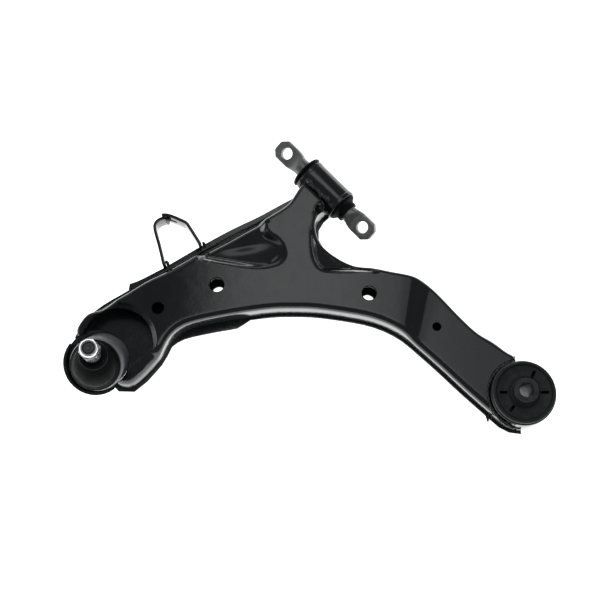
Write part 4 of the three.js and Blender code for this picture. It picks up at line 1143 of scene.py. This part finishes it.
left = bracket_strip("bracket_left", LEFT_STRIP)
painted(left, "bracket_left_strip")
right = bracket_strip("bracket_right", RIGHT_STRIP)
slot_frame = (Matrix.Translation((*STRIP_SLOT, STRIP_MIDDLE_Z))
              @ Matrix.Rotation(math.radians(-18), 4, "Z"))
slot_outline = fillet(rectangle(STRIP_SLOT_L, STRIP_SLOT_W), 1.4, 5)
near_ring, far_ring = ([(x, depth, z) for x, z in slot_outline] for depth in (-12, 12))
right = boolean(right, "DIFFERENCE", prism("c", near_ring, far_ring, slot_frame))
painted(right, "bracket_right_strip")


def seam(name, node, edge, low_x, high_x, seed):
    """Short weld stitches along the joint of the two pressings."""
    just_outside = OUTLINE - inward(OUTLINE) * 0.5
    line = np.array([p for p in just_outside if edge(*p) and low_x < p[0] < high_x])
    line = line[np.argsort(line[:, 0])]
    path = np.column_stack([line, np.full(len(line), SHELL_LOW + 0.9)])
    painted(bead(name, path[::3], 0.95, seed, pitch=4.5, flat=0.6), node, WELD)


def is_south(x, y):
    return y < -0.3 * x - 5 and x < 206


def is_west(x, y):
    return y > 0.55 * x + 80 and x < -20


def is_north(x, y):
    return not is_south(x, y) and -90 < y < 36


seam("seam_south", "weld_seam_south", is_south, -50, 190, 3)
seam("seam_north", "weld_seam_north", is_north, 14, 200, 11)
seam("seam_west", "weld_seam_west", is_west, -160, -34, 19)

# Both beads lie along the joint of a pressing with the part that it is welded to.
neck_points = []
for i in range(9):
    u = -NECK_HALF + 1.2 + ((2 * NECK_HALF - 2.4) * i) / 8
    x, y = on_front(u, -NECK_REACH + 0.9 + 0.7 * math.sin(i * 2.1))
    neck_points.append((x, y, FRONT.z + TUBE_R * 0.87 + 1.2 + 0.5 * math.sin(i * 1.3)))
painted(bead("neck_bead", neck_points, 2.9, 5, pitch=3.4), "weld_neck_bead", WELD)
arc_r = (RING_R + ARC_CUT_R) / 2 + 0.2
arc_points = [(REAR.x + arc_r * math.cos(a), REAR.y + arc_r * math.sin(a), REAR_TOP_Z - 1.6)
              for a in map(math.radians, range(104, 262, 8))]
painted(bead("ring_bead", arc_points, 2.1, 9, pitch=3.0), "weld_rear_ring_bead", WELD)
for name, node, (x, y), seed in (
    ("bracket_left_bead", "weld_bracket_left_bead", (-145.8, 18.6), 21),
    ("bracket_right_bead", "weld_bracket_right_bead", (-108.6, 39.6), 27),
    ("bracket_lap_bead", "weld_bracket_lap_bead", (-147.1, 65.3), 33),
):
    upright_line = [(x + 0.3 * math.sin(k * 1.7 + seed), y + 0.3 * math.cos(k * 2.3 + seed),
                     STRIP_Z0 + 1.5 + k * (STRIP_W - 3) / 6) for k in range(7)]
    painted(bead(name, upright_line, 1.9, seed, pitch=2.6, flat=0.9), node, WELD)

# ------------ studio
def studio():
    scene = bpy.context.scene
    scene.view_settings.view_transform = "Standard"
    scene.view_settings.look = "None"
    floor_mesh = bpy.data.meshes.new("studio_floor")
    floor_width, floor_z = 18.0, -0.0004
    corners = [(x, y, floor_z) for x, y in rectangle(floor_width, floor_width)]
    floor_mesh.from_pydata(corners, [], [(0, 1, 2, 3)])
    floor = bpy.data.objects.new("studio_floor", floor_mesh)
    scene.collection.objects.link(floor)
    paper = Shader("pale_floor", (0.86, 0.86, 0.86), 0.9)
    paper.tint(paper.ranged(paper.noise(6, 3), 0.4, 0.7), (0.84, 0.84, 0.845))
    paper.shader.inputs["Emission Color"].default_value = (1, 1, 1, 1)
    paper.shader.inputs["Emission Strength"].default_value = 1.5
    paper.shader.inputs["Specular IOR Level"].default_value = 0.0
    floor_mesh.materials.append(paper.material)

    world = bpy.data.worlds.new("studio")
    world.use_nodes = True
    world.node_tree.nodes["Background"].inputs["Color"].default_value = (0.92, 0.96, 1, 1)
    world.node_tree.nodes["Background"].inputs["Strength"].default_value = 0.16
    scene.world = world

    def softbox(name, place, aim, size, radiance, color=(1, 1, 1)):
        lamp = bpy.data.lights.new(name, "AREA")
        lamp.shape = "RECTANGLE"
        lamp.size, lamp.size_y = size
        lamp.energy = radiance * math.pi * size[0] * size[1]
        lamp.color = color
        holder = bpy.data.objects.new(name, lamp)
        scene.collection.objects.link(holder)
        holder.location = place
        holder.rotation_euler = (Vector(aim) - Vector(place)).to_track_quat("-Z", "Y").to_euler()

    # One wide overhead panel in three parts, which is brighter towards the ball joint.
    for name, low_x, high_x, radiance in (
        ("overhead_left", -0.195, 0.14, 1.36),
        ("overhead_middle", 0.14, 0.32, 0.82),
        ("overhead_right", 0.32, 0.8, 0.52),
    ):
        middle_x = (low_x + high_x) / 2
        softbox(name, (middle_x, 0.32, 1.36), (middle_x, 0.32, 0), (high_x - low_x, 1.0), radiance,
                (0.96, 1.0, 1.0))
    softbox("rim_back", (-0.5, 1.5, 0.9), (0, 0, 0.03), (1.4, 0.5), 0.8)
    softbox("fill_left", (-1.7, -0.4, 0.8), (0, 0, 0.03), (0.6, 1.0), 0.7)

    camera = bpy.data.objects.new("camera", bpy.data.cameras.new("camera"))
    scene.collection.objects.link(camera)
    camera.data.sensor_width = 36
    camera.data.lens = 69.84
    camera.data.clip_end = 20
    camera.location = (-0.00757, -0.32216, 1.2025)
    camera.rotation_euler = (math.radians(14.45), 0, 0)
    scene.camera = camera


studio()
